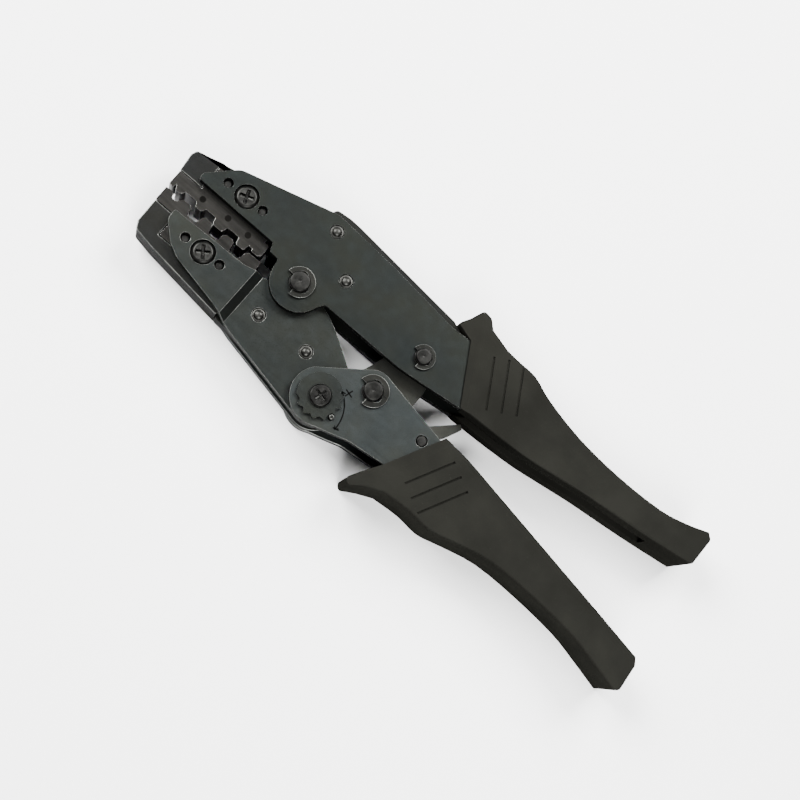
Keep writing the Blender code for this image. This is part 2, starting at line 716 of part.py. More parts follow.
def add_lower_die(jaw):
    """The lower die: four nests open upwards and a tongue between the cheeks."""
    shoulder = LOWER_SHOULDER
    nests = ((-52.6, -47.8, -5.5), (-44.8, -38.3, -6.7), (-35.6, -29.1, -6.7), (-26.5, -19.6, -6.8))
    corners = [(DIE_TONGUE_LEFT, shoulder, 0.0), (-54.9, shoulder, 0.4), (-55.0, -3.8, 0.3)]
    for left, right, bottom in nests:
        rim_left = LOWER_RIM_LEFT[1] + LOWER_RIM_SLOPE * (left - LOWER_RIM_LEFT[0])
        rim_right = LOWER_RIM_LEFT[1] + LOWER_RIM_SLOPE * (right - LOWER_RIM_LEFT[0])
        corners += [
            (left, rim_left, 0.2), (left + NEST_LIP, rim_left - NEST_LIP, 0.3),
            (left + NEST_CORNER, bottom, 1.0), (right - NEST_CORNER, bottom, 1.0),
            (right - NEST_LIP, rim_right - NEST_LIP, 0.3), (right, rim_right, 0.2),
        ]
    corners += [
        (-14.4, -2.5, 0.5), (-14.2, -5.6, 0.5), (-17.4, -8.4, 1.0), (DIE_TONGUE_RIGHT, -8.5, 0.0),
        (DIE_TONGUE_RIGHT, LOWER_TONGUE_BOTTOM, 0.6), (DIE_TONGUE_LEFT, LOWER_TONGUE_BOTTOM, 0.6),
    ]
    die = add_plate("lower_die", rounded(corners), die_holes(LOWER_SCREW, LOWER_DOWELS),
                    -CORE_HALF, CORE_HALF)
    finish_part(die, jaw, "die_steel")


def handle_plate_outline():
    """The moving handle's plate: boss on the jaw's tail, shoulder at the toggle, bar in the grip."""
    bar = BAR_LENGTH
    top = grip_side(MOVING_GRIP_FRONT[1:], MOVING_GRIP_START, bar, -BAR_INSET_FRONT)
    bottom = grip_side(MOVING_GRIP_BACK[1:], MOVING_GRIP_START, bar, BAR_INSET_BACK)
    corners = sharp(arc(HANDLE_PIVOT, HANDLE_SHOULDER_RADIUS, 137.0, 78.0, 10))
    corners += [(50.0, -6.1, 10.0), (69.5, -9.6, 0.0)]
    corners += sharp(top) + sharp(reversed(bottom))
    corners += [(60.9, -29.0, 0.0), (47.0, -30.6, 14.0), (41.5, -32.4, 10.0)]
    corners += sharp(arc(JAW_TAIL_PIVOT, HANDLE_BOSS_RADIUS, -62.0, -221.0, 26))
    return rounded(corners)


def add_handle_plates(handle):
    """The moving handle's two side plates."""
    outline = handle_plate_outline()
    lock_place = polar(JAW_TAIL_PIVOT, ADJUSTER_DISC_RADIUS, LOCK_PIN_ANGLE_DEG)
    for side, name in ((1, "front_handle_plate"), (-1, "rear_handle_plate")):
        holes = [
            hole(JAW_TAIL_PIVOT, ADJUSTER_PIN_RADIUS), hole(HANDLE_PIVOT, HANDLE_PIN_RADIUS),
            circle(PAWL_PIVOT, PAWL_PIN_RADIUS + PIN_CLEARANCE, 20),
        ]
        if side > 0:
            holes.append(circle(lock_place, LOCK_PIN_RADIUS + PIN_CLEARANCE, 12))
        low, high = sorted((side * PLATE_IN, side * PLATE_OUT))
        plate = add_plate(name, outline, holes, low, high)
        finish_part(plate, handle, "plate_steel")


def add_handle_core(handle):
    """The spacer block between the handle plates, inside the grip."""
    reach = HANDLE_CORE_START + HANDLE_CORE_LENGTH
    top = grip_side(MOVING_GRIP_FRONT, MOVING_GRIP_START, reach, -BAR_INSET_FRONT - HANDLE_CORE_INSET)
    bottom = grip_side(MOVING_GRIP_BACK, MOVING_GRIP_START, reach, BAR_INSET_BACK + HANDLE_CORE_INSET)
    keep = MOVING_GRIP_START + HANDLE_CORE_START
    outline = [point for point in top if point[0] > keep]
    outline += [point for point in reversed(bottom) if point[0] > keep]
    core = add_plate("handle_core", outline, (), -CORE_HALF, CORE_HALF)
    finish_part(core, handle, "core_steel")


def add_adjuster(handle):
    """The adjuster: pin through jaw tail and handle, toothed wheel, screw and lock pin."""
    bottom = -(PLATE_OUT + GAP + PIN_HEAD_HEIGHT)
    head_top = -(PLATE_OUT + GAP)
    bore = ADJUSTER_SCREW_RADIUS + PIN_CLEARANCE
    bore_floor = PLATE_OUT - ADJUSTER_SCREW_LENGTH - GAP
    rim = ADJUSTER_PIN_RADIUS + PIN_HEAD_RIM
    profile = [
        (0.0, bore_floor), (bore, bore_floor), (bore, PLATE_OUT), (ADJUSTER_PIN_RADIUS, PLATE_OUT),
        (ADJUSTER_PIN_RADIUS, head_top), (rim, head_top), (rim, bottom + PIN_CHAMFER),
        (rim - PIN_CHAMFER, bottom),
        (0.0, bottom),
    ]
    finish_part(add_turned("adjuster_pin", profile, JAW_TAIL_PIVOT), handle, "pin_steel")
    disc_low = PLATE_OUT + GAP
    disc_high = disc_low + ADJUSTER_DISC_THICKNESS
    pitch = 360.0 / ADJUSTER_NOTCHES / 2.0
    plain_start = ADJUSTER_PLAIN_START_DEG
    plain_end = ADJUSTER_PLAIN_END_DEG
    outline = arc(JAW_TAIL_PIVOT, ADJUSTER_DISC_RADIUS, plain_start, plain_end, 16)
    count = int((plain_start + 360.0 - plain_end) / pitch)
    for index in range(1, count):
        angle = plain_end + (plain_start + 360.0 - plain_end) * index / count
        notch = ADJUSTER_NOTCH_DEPTH if index % 2 else 0.0
        outline.append(polar(JAW_TAIL_PIVOT, ADJUSTER_DISC_RADIUS - notch,
                             angle - ADJUSTER_NOTCH_HALF_DEG))
        outline.append(polar(JAW_TAIL_PIVOT, ADJUSTER_DISC_RADIUS - notch,
                             angle + ADJUSTER_NOTCH_HALF_DEG))
    lock_place = polar(JAW_TAIL_PIVOT, ADJUSTER_DISC_RADIUS, LOCK_PIN_ANGLE_DEG)
    disc = add_plate("adjuster_disc", outline, [circle(JAW_TAIL_PIVOT, bore, 16)],
                     disc_low, disc_high)
    gap_cut = add_turned("adjuster_disc_lock_gap", [
        (0.0, disc_high + CUT_MARGIN), (LOCK_PIN_RADIUS + GAP, disc_high + CUT_MARGIN),
        (LOCK_PIN_RADIUS + GAP, disc_low - CUT_MARGIN), (0.0, disc_low - CUT_MARGIN),
    ], lock_place, steps=14, collection=CUTTERS_NAME)
    cut(disc, gap_cut)
    finish_part(disc, handle, "plate_steel")
    head_low = disc_high + GAP
    top = head_low + ADJUSTER_SCREW_HEAD_HEIGHT
    head = ADJUSTER_SCREW_HEAD_RADIUS
    shank_end = PLATE_OUT - ADJUSTER_SCREW_LENGTH
    screw = add_turned("adjuster_screw", [
        (0.0, top), (head - ADJUSTER_SCREW_CHAMFER, top), (head, top - ADJUSTER_SCREW_CHAMFER),
        (head, head_low),
        (ADJUSTER_SCREW_RADIUS, head_low), (ADJUSTER_SCREW_RADIUS, shank_end), (0.0, shank_end),
    ], JAW_TAIL_PIVOT)
    cut(screw, cross_cutter("adjuster_screw_recess", JAW_TAIL_PIVOT, ADJUSTER_RECESS_ARM,
                            ADJUSTER_RECESS_WIDTH, top - ADJUSTER_RECESS_DEPTH,
                            top + CUT_MARGIN, ADJUSTER_RECESS_DEG))
    finish_part(screw, handle, "pin_steel")
    lock_top = disc_high + LOCK_PIN_PROUD
    lock_bottom = PLATE_IN + PIN_CLEARANCE
    lock = add_turned("adjuster_lock_pin", [
        (0.0, lock_top), (LOCK_PIN_RADIUS - LOCK_PIN_CHAMFER, lock_top),
        (LOCK_PIN_RADIUS, lock_top - LOCK_PIN_CHAMFER), (LOCK_PIN_RADIUS, lock_bottom),
        (0.0, lock_bottom),
    ], lock_place, steps=14)
    finish_part(lock, handle, "pin_steel")


def sector_teeth():
    """Saw teeth on an arc about the handle pin, from the first to the last angle."""
    points = []
    pitch = (SECTOR_LAST_DEG - SECTOR_FIRST_DEG) / SECTOR_TEETH
    root = SECTOR_TIP_RADIUS - SECTOR_TOOTH_DEPTH
    for index in range(SECTOR_TEETH):
        angle = SECTOR_FIRST_DEG + pitch * index
        points.append(polar(HANDLE_PIVOT, root, angle))
        points.append(polar(HANDLE_PIVOT, SECTOR_TIP_RADIUS, angle + 0.15 * pitch))
    points.append(polar(HANDLE_PIVOT, root, SECTOR_LAST_DEG))
    return points


def add_toggle_link(link):
    """The toggle link: boss on the link pin, slotted foot on the handle pin, ratchet sector."""
    away = math.degrees(math.atan2(HANDLE_PIVOT[1] - LINK_PIVOT[1], HANDLE_PIVOT[0] - LINK_PIVOT[0]))
    corners = sharp(arc(LINK_PIVOT, LINK_BOSS_RADIUS, 190.0, -25.0, 26))
    corners += [(56.8, -1.0, 1.0)]
    corners += sharp(sector_teeth())
    corners += [(polar(HANDLE_PIVOT, 12.5, -58.0) + (1.0,))]
    corners += sharp(arc(HANDLE_PIVOT, LINK_FOOT_RADIUS, -95.0, -195.0, 12))
    corners += [(37.9, -0.6, 2.0)]
    slot = capsule(HANDLE_PIVOT, HANDLE_PIN_RADIUS + SLOT_SIDE_PLAY, SLOT_INWARD_PLAY,
                   SLOT_OUTWARD_PLAY, away)
    holes = [hole(LINK_PIVOT, LINK_PIN_RADIUS), slot]
    plate = add_plate("toggle_link", rounded(corners), holes, -LINK_HALF, LINK_HALF)
    finish_part(plate, link, "core_steel")


def add_pawl(pawl):
    """The ratchet pawl with its release finger."""
    reach = SECTOR_TIP_RADIUS + PAWL_STAND_OFF
    tooth = polar(HANDLE_PIVOT, reach, 1.0)
    corners = [
        (tooth[0], tooth[1], 0.4), (62.6, -8.6, 1.0), (65.5, -6.9, 1.0), (73.5, 0.9, 0.6),
        (75.0, -0.4, 0.8), (72.9, -4.9, 2.0), (70.2, -9.3, 1.0),
    ]
    corners += sharp(arc(PAWL_PIVOT, PAWL_BOSS_RADIUS, 10.0, -160.0, 14))
    outline = rounded(corners)
    body = add_plate("ratchet_pawl", outline, [circle(PAWL_PIVOT, PAWL_PIN_RADIUS + PIN_CLEARANCE, 20)],
                     -LINK_HALF, LINK_HALF)
    finish_part(body, pawl, "core_steel")


def add_coil(name, place, radius, wire, low, high, start_deg, parent):
    """A torsion spring: a helix between two heights with a straight leg at each end."""
    bottom = low + wire
    rise = high - low - 2.0 * wire
    turns = max(1, int(rise / (SPRING_PITCH_FACTOR * wire)))
    count = turns * SPRING_POINTS_PER_TURN
    points = []
    for index in range(count + 1):
        share = index / count
        angle = start_deg + 360.0 * turns * share
        x, y = polar(place, radius, angle)
        points.append((x, y, bottom + rise * share))
    first = math.radians(start_deg - 90.0)
    last = math.radians(start_deg + 360.0 * turns + 90.0)
    head = points[0]
    tail = points[-1]
    points.insert(0, (head[0] + SPRING_LEG * math.cos(first), head[1] + SPRING_LEG * math.sin(first),
                      head[2]))
    points.append((tail[0] + SPRING_LEG * math.cos(last), tail[1] + SPRING_LEG * math.sin(last),
                   tail[2]))
    curve = bpy.data.curves.new(name, "CURVE")
    curve.dimensions = "3D"
    curve.bevel_depth = wire * MM
    curve.bevel_resolution = 1
    curve.use_fill_caps = True
    spline = curve.splines.new("POLY")
    spline.points.add(len(points) - 1)
    for point, place_of_point in zip(spline.points, points):
        point.co = (*(value * MM for value in place_of_point), 1.0)
    item = bpy.data.objects.new(name, curve)
    bpy.data.collections[OBJECT_NAME].objects.link(item)
    bpy.context.view_layer.update()
    finish_part(curve_to_mesh(item), parent, "spring_steel")


def box_cutter(name, start, end, lift, width, height, tilt, forward):
    """A box lying along a line from start to end, tilted about it.

    start and end are the line's ends, lift the height of the box's near face, width its size
    across the line, height its size away from the plier, tilt its turn about the line in
    degrees, and forward the shift of its middle across the line.
    """
    mesh = bpy.data.meshes.new(name)
    work = bmesh.new()
    bmesh.ops.create_cube(work, size=1.0)
    along = math.atan2(end[1] - start[1], end[0] - start[0])
    length = math.hypot(end[0] - start[0], end[1] - start[1])
    centre = Vector((0.5 * (start[0] + end[0]), 0.5 * (start[1] + end[1]), lift))
    place = (
        Matrix.Translation(centre * MM) @ Matrix.Rotation(along, 4, "Z")
        @ Matrix.Rotation(math.radians(tilt), 4, "X")
        @ Matrix.Translation(Vector((0.0, forward, 0.5 * height)) * MM)
        @ Matrix.Diagonal(Vector((length, width, height)) * MM).to_4x4()
    )
    bmesh.ops.transform(work, matrix=place, verts=work.verts)
    bmesh.ops.recalc_face_normals(work, faces=work.faces)
    work.to_mesh(mesh)
    work.free()
    return mesh_object(name, mesh, CUTTERS_NAME)


def cut_grip_face(body, front_low, front_high):
    """Cut the sloped lip and the thumb grooves into both faces of a grip.

    front_low and front_high are the ends of the grip's front edge at the plate, from the
    side next to the other handle to the back.
    """
    angle = math.degrees(math.atan2(front_high[1] - front_low[1], front_high[0] - front_low[0]))
    turned = 1.0 if front_high[1] > front_low[1] else -1.0
    back_deg = angle - 90.0 * turned
    slope = -turned * math.degrees(math.atan2(GRIP_LIP_DEPTH, GRIP_LIP_RUN))
    length = math.hypot(front_high[0] - front_low[0], front_high[1] - front_low[1])
    forward = 0.5 * turned * LIP_CUTTER_WIDTH
    crease = polar(front_low, GRIP_LIP_RUN, back_deg)
    for side in (1, -1):
        start = polar(crease, -LIP_CUTTER_WIDTH, angle)
        end = polar(crease, length + LIP_CUTTER_WIDTH, angle)
        name = f"{body.name}_lip_{'front' if side > 0 else 'rear'}"
        cutters = [box_cutter(name, start, end, GRIP_HALF, LIP_CUTTER_WIDTH, LIP_CUTTER_HEIGHT,
                              slope, forward)]
        for number in range(1, GRIP_GROOVES + 1):
            row = polar(crease, number * GRIP_GROOVE_PITCH, back_deg)
            low = polar(row, GRIP_GROOVE_INSET_LOW, angle)
            high = polar(row, length - GRIP_GROOVE_INSET_HIGH, angle)
            cutters.append(box_cutter(f"{name}_groove_{number}", low, high,
                                      GRIP_HALF - GRIP_GROOVE_DEPTH, GRIP_GROOVE_WIDTH,
                                      LIP_CUTTER_HEIGHT, 0.0, 0.0))
        for cutter in cutters:
            if side < 0:
                cutter.data.transform(Matrix.Scale(-1.0, 4, (0.0, 0.0, 1.0)))
                cutter.data.flip_normals()
            cut(body, cutter)


def add_grip(name, outline, pocket, slot, front_low, front_high, parent):
    """A grip: rounded body, pocket for the plates open in front, and slot on the inner side."""
    body = add_plate(name, outline, (), -GRIP_HALF, GRIP_HALF)
    round_caps(body, GRIP_EDGE_RADIUS)
    cut_grip_face(body, front_low, front_high)
    cut(body, add_plate(f"{name}_pocket", pocket, (), -POCKET_HALF, POCKET_HALF,
                        collection=CUTTERS_NAME))
    cut(body, add_plate(f"{name}_slot", slot, (), -GRIP_SLOT_HALF, GRIP_SLOT_HALF,
                        collection=CUTTERS_NAME))
    finish_part(body, parent, "grip_plastic")


def add_fixed_grip(root):
    """The fixed handle's grip with its finger guard."""
    start = FIXED_GRIP_START
    back = grip_side(FIXED_GRIP_BACK, start, GRIP_LENGTH + 1.0, 0.0)
    front = grip_side(FIXED_GRIP_FRONT, start, GRIP_LENGTH + 1.0, 0.0)
    end_x = start + GRIP_LENGTH
    guard = [
        (57.3, 23.9, 0.0), (50.3, 26.6, 0.8), (52.4, 30.0, 3.0), (54.5, 35.1, 1.5), (58.0, 34.6, 1.6),
        (61.0, 31.7, 3.0),
    ]
    corners = [(start, 3.2, 1.0)] + guard + sharp(smooth(back))
    corners += [(end_x + 0.7, 25.4, 1.6), (end_x + 0.4, 14.6, 1.5)] + sharp(smooth(front)[::-1][:-1])
    bar = BAR_LENGTH + GAP
    reach = GRIP_MOUTH
    pocket = [(start - reach, 3.2 - GAP - reach * 0.13), (57.3 - reach, 23.9 + GAP), (57.3, 23.9 + GAP)]
    pocket += grip_side(FIXED_GRIP_BACK[1:], start, bar, GAP - BAR_INSET_BACK)
    pocket += grip_side(FIXED_GRIP_FRONT[1:], start, bar, BAR_INSET_FRONT - GAP)[::-1]
    pocket += [(start, 3.2 - GAP)]
    slot = [(start - reach, -3.0), (start - reach, 8.0)]
    slot += grip_side(FIXED_GRIP_FRONT[1:], start, GRIP_SLOT_LENGTH, BAR_INSET_FRONT + 1.0)
    slot += [(start + GRIP_SLOT_LENGTH, 2.0)]
    add_grip("fixed_grip", rounded(corners), pocket, slot, (start, 3.2), (57.3, 23.9), root)


def add_moving_grip(handle):
    """The moving handle's grip with its horn."""
    start = MOVING_GRIP_START
    back = grip_side(MOVING_GRIP_BACK, start, GRIP_LENGTH + 3.0, 0.0)
    front = grip_side(MOVING_GRIP_FRONT, start, GRIP_LENGTH + 3.0, 0.0)
    end_x = start + GRIP_LENGTH
    corners = sharp(smooth(front))
    corners += [(end_x + 2.6, -26.0, 1.5), (end_x + 3.2, -36.0, 1.6)] + sharp(smooth(back)[::-1])
    corners += [
        (61.5, -39.2, 2.0), (56.0, -42.4, 1.5), (54.1, -40.4, 1.5), (57.8, -34.0, 4.0),
        (60.9, -29.4, 0.0),
    ]
    bar = BAR_LENGTH + GAP
    reach = GRIP_MOUTH
    pocket = [(69.5, -9.6 + GAP)]
    pocket += grip_side(MOVING_GRIP_FRONT[1:], start, bar, GAP - BAR_INSET_FRONT)
    pocket += grip_side(MOVING_GRIP_BACK[1:], start, bar, BAR_INSET_BACK - GAP)[::-1]
    pocket += [(60.9, -29.0 - GAP), (60.9 - reach, -29.0 - GAP), (69.5 - reach, -9.6 + GAP)]
    slot = [(start - reach, 2.0), (start - reach, -12.0)]
    slot += grip_side(MOVING_GRIP_FRONT[1:], start, GRIP_SLOT_LENGTH, -BAR_INSET_FRONT - 1.0)
    slot += [(start + GRIP_SLOT_LENGTH, -12.0), (start + 30.0, 0.0)]
    add_grip("moving_grip", rounded(corners), pocket, slot, (start, -8.2), (60.9, -29.4), handle)


def clear_scene():
    """Remove what the scene starts with."""
    for item in list(bpy.data.objects):
        bpy.data.objects.remove(item)


def stand_on_origin(root):
    """Move the root so that the origin is under the middle of the plier."""
    bpy.context.view_layer.update()
    depsgraph = bpy.context.evaluated_depsgraph_get()
    lows = [math.inf] * 3
    highs = [-math.inf] * 3
    for item in bpy.data.collections[OBJECT_NAME].objects:
        if item.type != "MESH":
            continue
        mesh = item.evaluated_get(depsgraph).to_mesh()
        for vertex in mesh.vertices:
            place = item.matrix_world @ vertex.co
            for axis in range(3):
                lows[axis] = min(lows[axis], place[axis])
                highs[axis] = max(highs[axis], place[axis])
    root.location = (-0.5 * (lows[0] + highs[0]), -0.5 * (lows[1] + highs[1]), -lows[2])


def build():
    """Build the plier."""
    clear_scene()
    make_collections()
    root = add_empty("frame_axis", MAIN_PIVOT)
    jaw = add_empty("jaw_axis", MAIN_PIVOT, root)
    handle = add_empty("handle_axis", JAW_TAIL_PIVOT, jaw)
    link = add_empty("link_axis", LINK_PIVOT, root)
    pawl = add_empty("pawl_axis", PAWL_PIVOT, handle)

    add_frame_plates(root)
    add_spine(root)
    add_upper_nose_block(root)
    add_upper_die(root)
    add_die_screw("upper_die_screw", UPPER_SCREW, root, UPPER_RECESS_DEG)
    add_dowels("upper_die_dowel", UPPER_DOWELS, root)
    add_rivets("frame_rivet", FRAME_RIVETS, PLATE_OUT, root)
    add_pin("main_pivot_pin", MAIN_PIVOT, MAIN_PIN_RADIUS, root)
    add_ring("main_pivot_ring", MAIN_PIVOT, MAIN_PIN_RADIUS, MAIN_RING_RIM, root)
    add_pin("link_pin", LINK_PIVOT, LINK_PIN_RADIUS, root)
    add_ring("link_pin_ring", LINK_PIVOT, LINK_PIN_RADIUS, LINK_RING_RIM, root)
    add_fixed_grip(root)

    add_jaw_plates(jaw)
    add_jaw_blocks(jaw)
    add_lower_die(jaw)
    add_die_screw("lower_die_screw", LOWER_SCREW, jaw, LOWER_RECESS_DEG)
    add_dowels("lower_die_dowel", LOWER_DOWELS, jaw)
    add_rivets("jaw_rivet", JAW_RIVETS, TAIL_OUT, jaw)

    add_handle_plates(handle)
    add_handle_core(handle)
    add_adjuster(handle)
    add_pin("handle_pin", HANDLE_PIVOT, HANDLE_PIN_RADIUS, handle)
    add_ring("handle_pin_ring", HANDLE_PIVOT, HANDLE_PIN_RADIUS, HANDLE_RING_RIM, handle)
    add_moving_grip(handle)

    add_toggle_link(link)
    return_radius = LINK_PIN_RADIUS + PIN_CLEARANCE + RETURN_SPRING_WIRE + SPRING_CLEARANCE
    add_coil("return_spring", LINK_PIVOT, return_radius, RETURN_SPRING_WIRE, LINK_HALF + GAP,
             CORE_HALF, 30.0, root)

    add_pawl(pawl)
    pawl_pin = add_turned("pawl_pin", [
        (0.0, PLATE_OUT), (PAWL_PIN_RADIUS, PLATE_OUT), (PAWL_PIN_RADIUS, -PLATE_OUT),
        (0.0, -PLATE_OUT),
    ], PAWL_PIVOT, steps=20)
    finish_part(pawl_pin, handle, "pin_steel")
    pawl_radius = PAWL_PIN_RADIUS + PIN_CLEARANCE + PAWL_SPRING_WIRE + SPRING_CLEARANCE
    add_coil("pawl_spring", PAWL_PIVOT, pawl_radius, PAWL_SPRING_WIRE, LINK_HALF + GAP,
             CORE_HALF, -60.0, handle)
    stand_on_origin(root)


build()
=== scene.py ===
"""Looks of a ratchet crimping plier with exchangeable nest dies.

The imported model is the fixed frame. Every machined part becomes a copy with broken edges,
turned parts, screws, springs and marks are surfaces worked out with numpy, and each finish is
a small class that builds its own node graph. Sizes are in millimetres in the plier's own
frame: measured from the main pivot, +X towards the grips, +Y towards the fixed handle and +Z
out of the front plates, with zero in the middle plane.
"""

import json
import logging
import math
from dataclasses import dataclass, field
from enum import Enum

import bmesh
import bpy
import numpy as np
from mathutils import Matrix, Vector

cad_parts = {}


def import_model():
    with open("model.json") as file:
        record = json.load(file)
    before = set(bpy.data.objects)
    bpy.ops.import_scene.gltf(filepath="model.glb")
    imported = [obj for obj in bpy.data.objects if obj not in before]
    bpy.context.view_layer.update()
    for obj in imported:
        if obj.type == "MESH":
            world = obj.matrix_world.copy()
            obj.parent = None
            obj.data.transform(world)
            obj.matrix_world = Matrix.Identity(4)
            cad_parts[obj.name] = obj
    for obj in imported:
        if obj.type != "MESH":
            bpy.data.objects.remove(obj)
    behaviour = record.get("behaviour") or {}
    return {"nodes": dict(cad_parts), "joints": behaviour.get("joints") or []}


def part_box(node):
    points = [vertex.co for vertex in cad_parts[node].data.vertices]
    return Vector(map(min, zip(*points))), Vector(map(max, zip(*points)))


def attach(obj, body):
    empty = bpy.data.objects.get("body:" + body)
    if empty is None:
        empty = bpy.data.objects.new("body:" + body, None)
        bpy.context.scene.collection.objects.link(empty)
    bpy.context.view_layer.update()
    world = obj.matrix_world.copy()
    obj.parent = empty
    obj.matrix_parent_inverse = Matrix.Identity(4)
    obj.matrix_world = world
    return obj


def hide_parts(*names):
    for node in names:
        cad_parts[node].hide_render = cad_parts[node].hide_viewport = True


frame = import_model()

LOG = logging.getLogger("plier")
MM = 0.001
MERGE_DISTANCE = 1e-7
FLAT_ANGLE = math.radians(0.5)
SHARP_ANGLE = math.radians(32.0)
PLATE_FACE = 9.0
GRAZING_TINT = (0.3, 0.3, 0.3)
CORNER_SHARE = 0.45
PLAIN_PIN_CHAMFER = 0.3
PLAIN_PIN_SOFTNESS = 0.1
FLAT_FACE_WEIGHT = 90
LIGHT_AIM = (50.0, -5.0, 0.0)
SKY_COLOUR = (0.95, 0.97, 1.0)
FLOOR_COLOUR = (0.90, 0.90, 0.895)


class Body(Enum):
    """The rigid bodies that pieces ride on."""

    FRAME = "frame"
    JAW = "moving_jaw"
    HANDLE = "moving_handle"
    LINK = "toggle_link"
    PAWL = "ratchet_pawl"


class Slot(Enum):
    """The record's material slots."""

    PLATE = "plate_steel"
    CORE = "core_steel"
    DIE = "die_steel"
    PIN = "pin_steel"
    SPRING = "spring_steel"
    GRIP = "grip_plastic"


def joint_place(name: str) -> np.ndarray:
    """A joint's place in metres.

    Args:
        name: the joint's name.

    Returns:
        Its place as an array of three values.
    """
    for joint in frame["joints"]:
        if joint["name"] == name:
            return np.array(joint["pos_m"], dtype=float)
    raise KeyError(name)


ORIGIN = joint_place("jaw_pivot")


def world(points: np.ndarray) -> np.ndarray:
    """Points of the plier's own frame, in millimetres, as world places in metres."""
    return np.asarray(points, dtype=float) * MM + ORIGIN


# --------------------------------------------------------------------------- node graphs


class Graph:
    """A material's node graph, with short calls for what the finishes use."""

    def __init__(self, name: str) -> None:
        """Start a material on the object's own coordinates.

        Args:
            name: the material's name.
        """
        self.material = bpy.data.materials.new(name)
        self.material.use_nodes = True
        self.tree = self.material.node_tree
        self.shader = self.tree.nodes["Principled BSDF"]
        coordinates = self.tree.nodes.new("ShaderNodeTexCoord")
        self.place = coordinates.outputs["Object"]

    def link(self, source: bpy.types.NodeSocket, target: bpy.types.NodeSocket) -> None:
        """Link an output to an input."""
        self.tree.links.new(source, target)

    def mapped(self, stretch: tuple = (1.0, 1.0, 1.0), centre: tuple = (0.0, 0.0, 0.0),
               turn: tuple = (0.0, 0.0, 0.0)) -> bpy.types.NodeSocket:
        """The coordinates moved to a centre, turned and stretched.

        Args:
            stretch: scale along each axis.
            centre: the place that becomes zero, in metres.
            turn: turn about each axis, in degrees.

        Returns:
            The vector output.
        """
        centred = self.tree.nodes.new("ShaderNodeVectorMath")
        centred.operation = "SUBTRACT"
        centred.inputs[1].default_value = centre
        self.link(self.place, centred.inputs[0])
        node = self.tree.nodes.new("ShaderNodeMapping")
        node.inputs["Scale"].default_value = stretch
        node.inputs["Rotation"].default_value = tuple(math.radians(value) for value in turn)
        self.link(centred.outputs[0], node.inputs["Vector"])
        return node.outputs["Vector"]

    def noise(self, scale: float, detail: float = 3.0, roughness: float = 0.55,
              vector: bpy.types.NodeSocket | None = None) -> bpy.types.NodeSocket:
        """Fractal noise.

        Args:
            scale: features per metre.
            detail: octaves.
            roughness: share that each octave keeps.
            vector: where it is read, or the plain coordinates.

        Returns:
            The factor output.
        """
        node = self.tree.nodes.new("ShaderNodeTexNoise")
        node.inputs["Scale"].default_value = scale
        node.inputs["Detail"].default_value = detail
        node.inputs["Roughness"].default_value = roughness
        self.link(vector or self.place, node.inputs["Vector"])
        return node.outputs["Fac"]

    def rings(self, scale: float, vector: bpy.types.NodeSocket,
              distortion: float = 0.6) -> bpy.types.NodeSocket:
        """Rings about the Z axis of a vector, as a lathe leaves them.

        Args:
            scale: rings per metre, roughly.
            vector: the centred coordinates.
            distortion: how uneven the rings are.

        Returns:
            The factor output.
        """
        node = self.tree.nodes.new("ShaderNodeTexWave")
        node.wave_type = "RINGS"
        node.rings_direction = "Z"
        node.inputs["Scale"].default_value = scale
        node.inputs["Distortion"].default_value = distortion
        node.inputs["Detail"].default_value = 2.0
        self.link(vector, node.inputs["Vector"])
        return node.outputs["Fac"]

    def spread(self, source: bpy.types.NodeSocket, low: float, high: float,
               out_low: float = 0.0, out_high: float = 1.0) -> bpy.types.NodeSocket:
        """A value stretched from one range to another, and held inside it.

        Args:
            source: the value.
            low: source value that gives out_low.
            high: source value that gives out_high.
            out_low: result at low.
            out_high: result at high.

        Returns:
            The result output.
        """
        node = self.tree.nodes.new("ShaderNodeMapRange")
        node.inputs["From Min"].default_value = low
        node.inputs["From Max"].default_value = high
        node.inputs["To Min"].default_value = out_low
        node.inputs["To Max"].default_value = out_high
        self.link(source, node.inputs["Value"])
        return node.outputs["Result"]

    def blend(self, factor: bpy.types.NodeSocket, first: object,
              second: object) -> bpy.types.NodeSocket:
        """Two colours blended by a factor.

        Args:
            factor: how much of the second.
            first: a colour or an output.
            second: a colour or an output.

        Returns:
            The colour output.
        """
        node = self.tree.nodes.new("ShaderNodeMix")
        node.data_type = "RGBA"
        self.link(factor, node.inputs[0])
        for socket, value in ((node.inputs[6], first), (node.inputs[7], second)):
            if isinstance(value, tuple):
                socket.default_value = (*value, 1.0)
            else:
                self.link(value, socket)
        return node.outputs[2]

    def add(self, first: bpy.types.NodeSocket, second: bpy.types.NodeSocket,
            share: float) -> bpy.types.NodeSocket:
        """The first value plus a share of the second."""
        node = self.tree.nodes.new("ShaderNodeMath")
        node.operation = "MULTIPLY_ADD"
        node.inputs[1].default_value = share
        self.link(second, node.inputs[0])
        self.link(first, node.inputs[2])
        return node.outputs[0]

    def dim_grazing(self, level: float) -> None:
        """Weaken the reflections, which an oxide or a grained skin breaks up.

        Args:
            level: the shader's specular level.
        """
        self.shader.inputs["Specular IOR Level"].default_value = level
        self.shader.inputs["Specular Tint"].default_value = (*GRAZING_TINT, 1.0)

    def bump(self, height: bpy.types.NodeSocket, strength: float, depth: float) -> None:
        """Give the shader a bump.

        Args:
            height: the relief.
            strength: how strong it is.
            depth: the relief's depth, in millimetres.
        """
        node = self.tree.nodes.new("ShaderNodeBump")
        node.inputs["Strength"].default_value = strength
        node.inputs["Distance"].default_value = depth * MM
        self.link(height, node.inputs["Height"])
        self.link(node.outputs["Normal"], self.shader.inputs["Normal"])


def shade(colour: tuple, factor: float) -> tuple:
    """A colour made lighter or darker."""
    return tuple(min(1.0, value * factor) for value in colour)


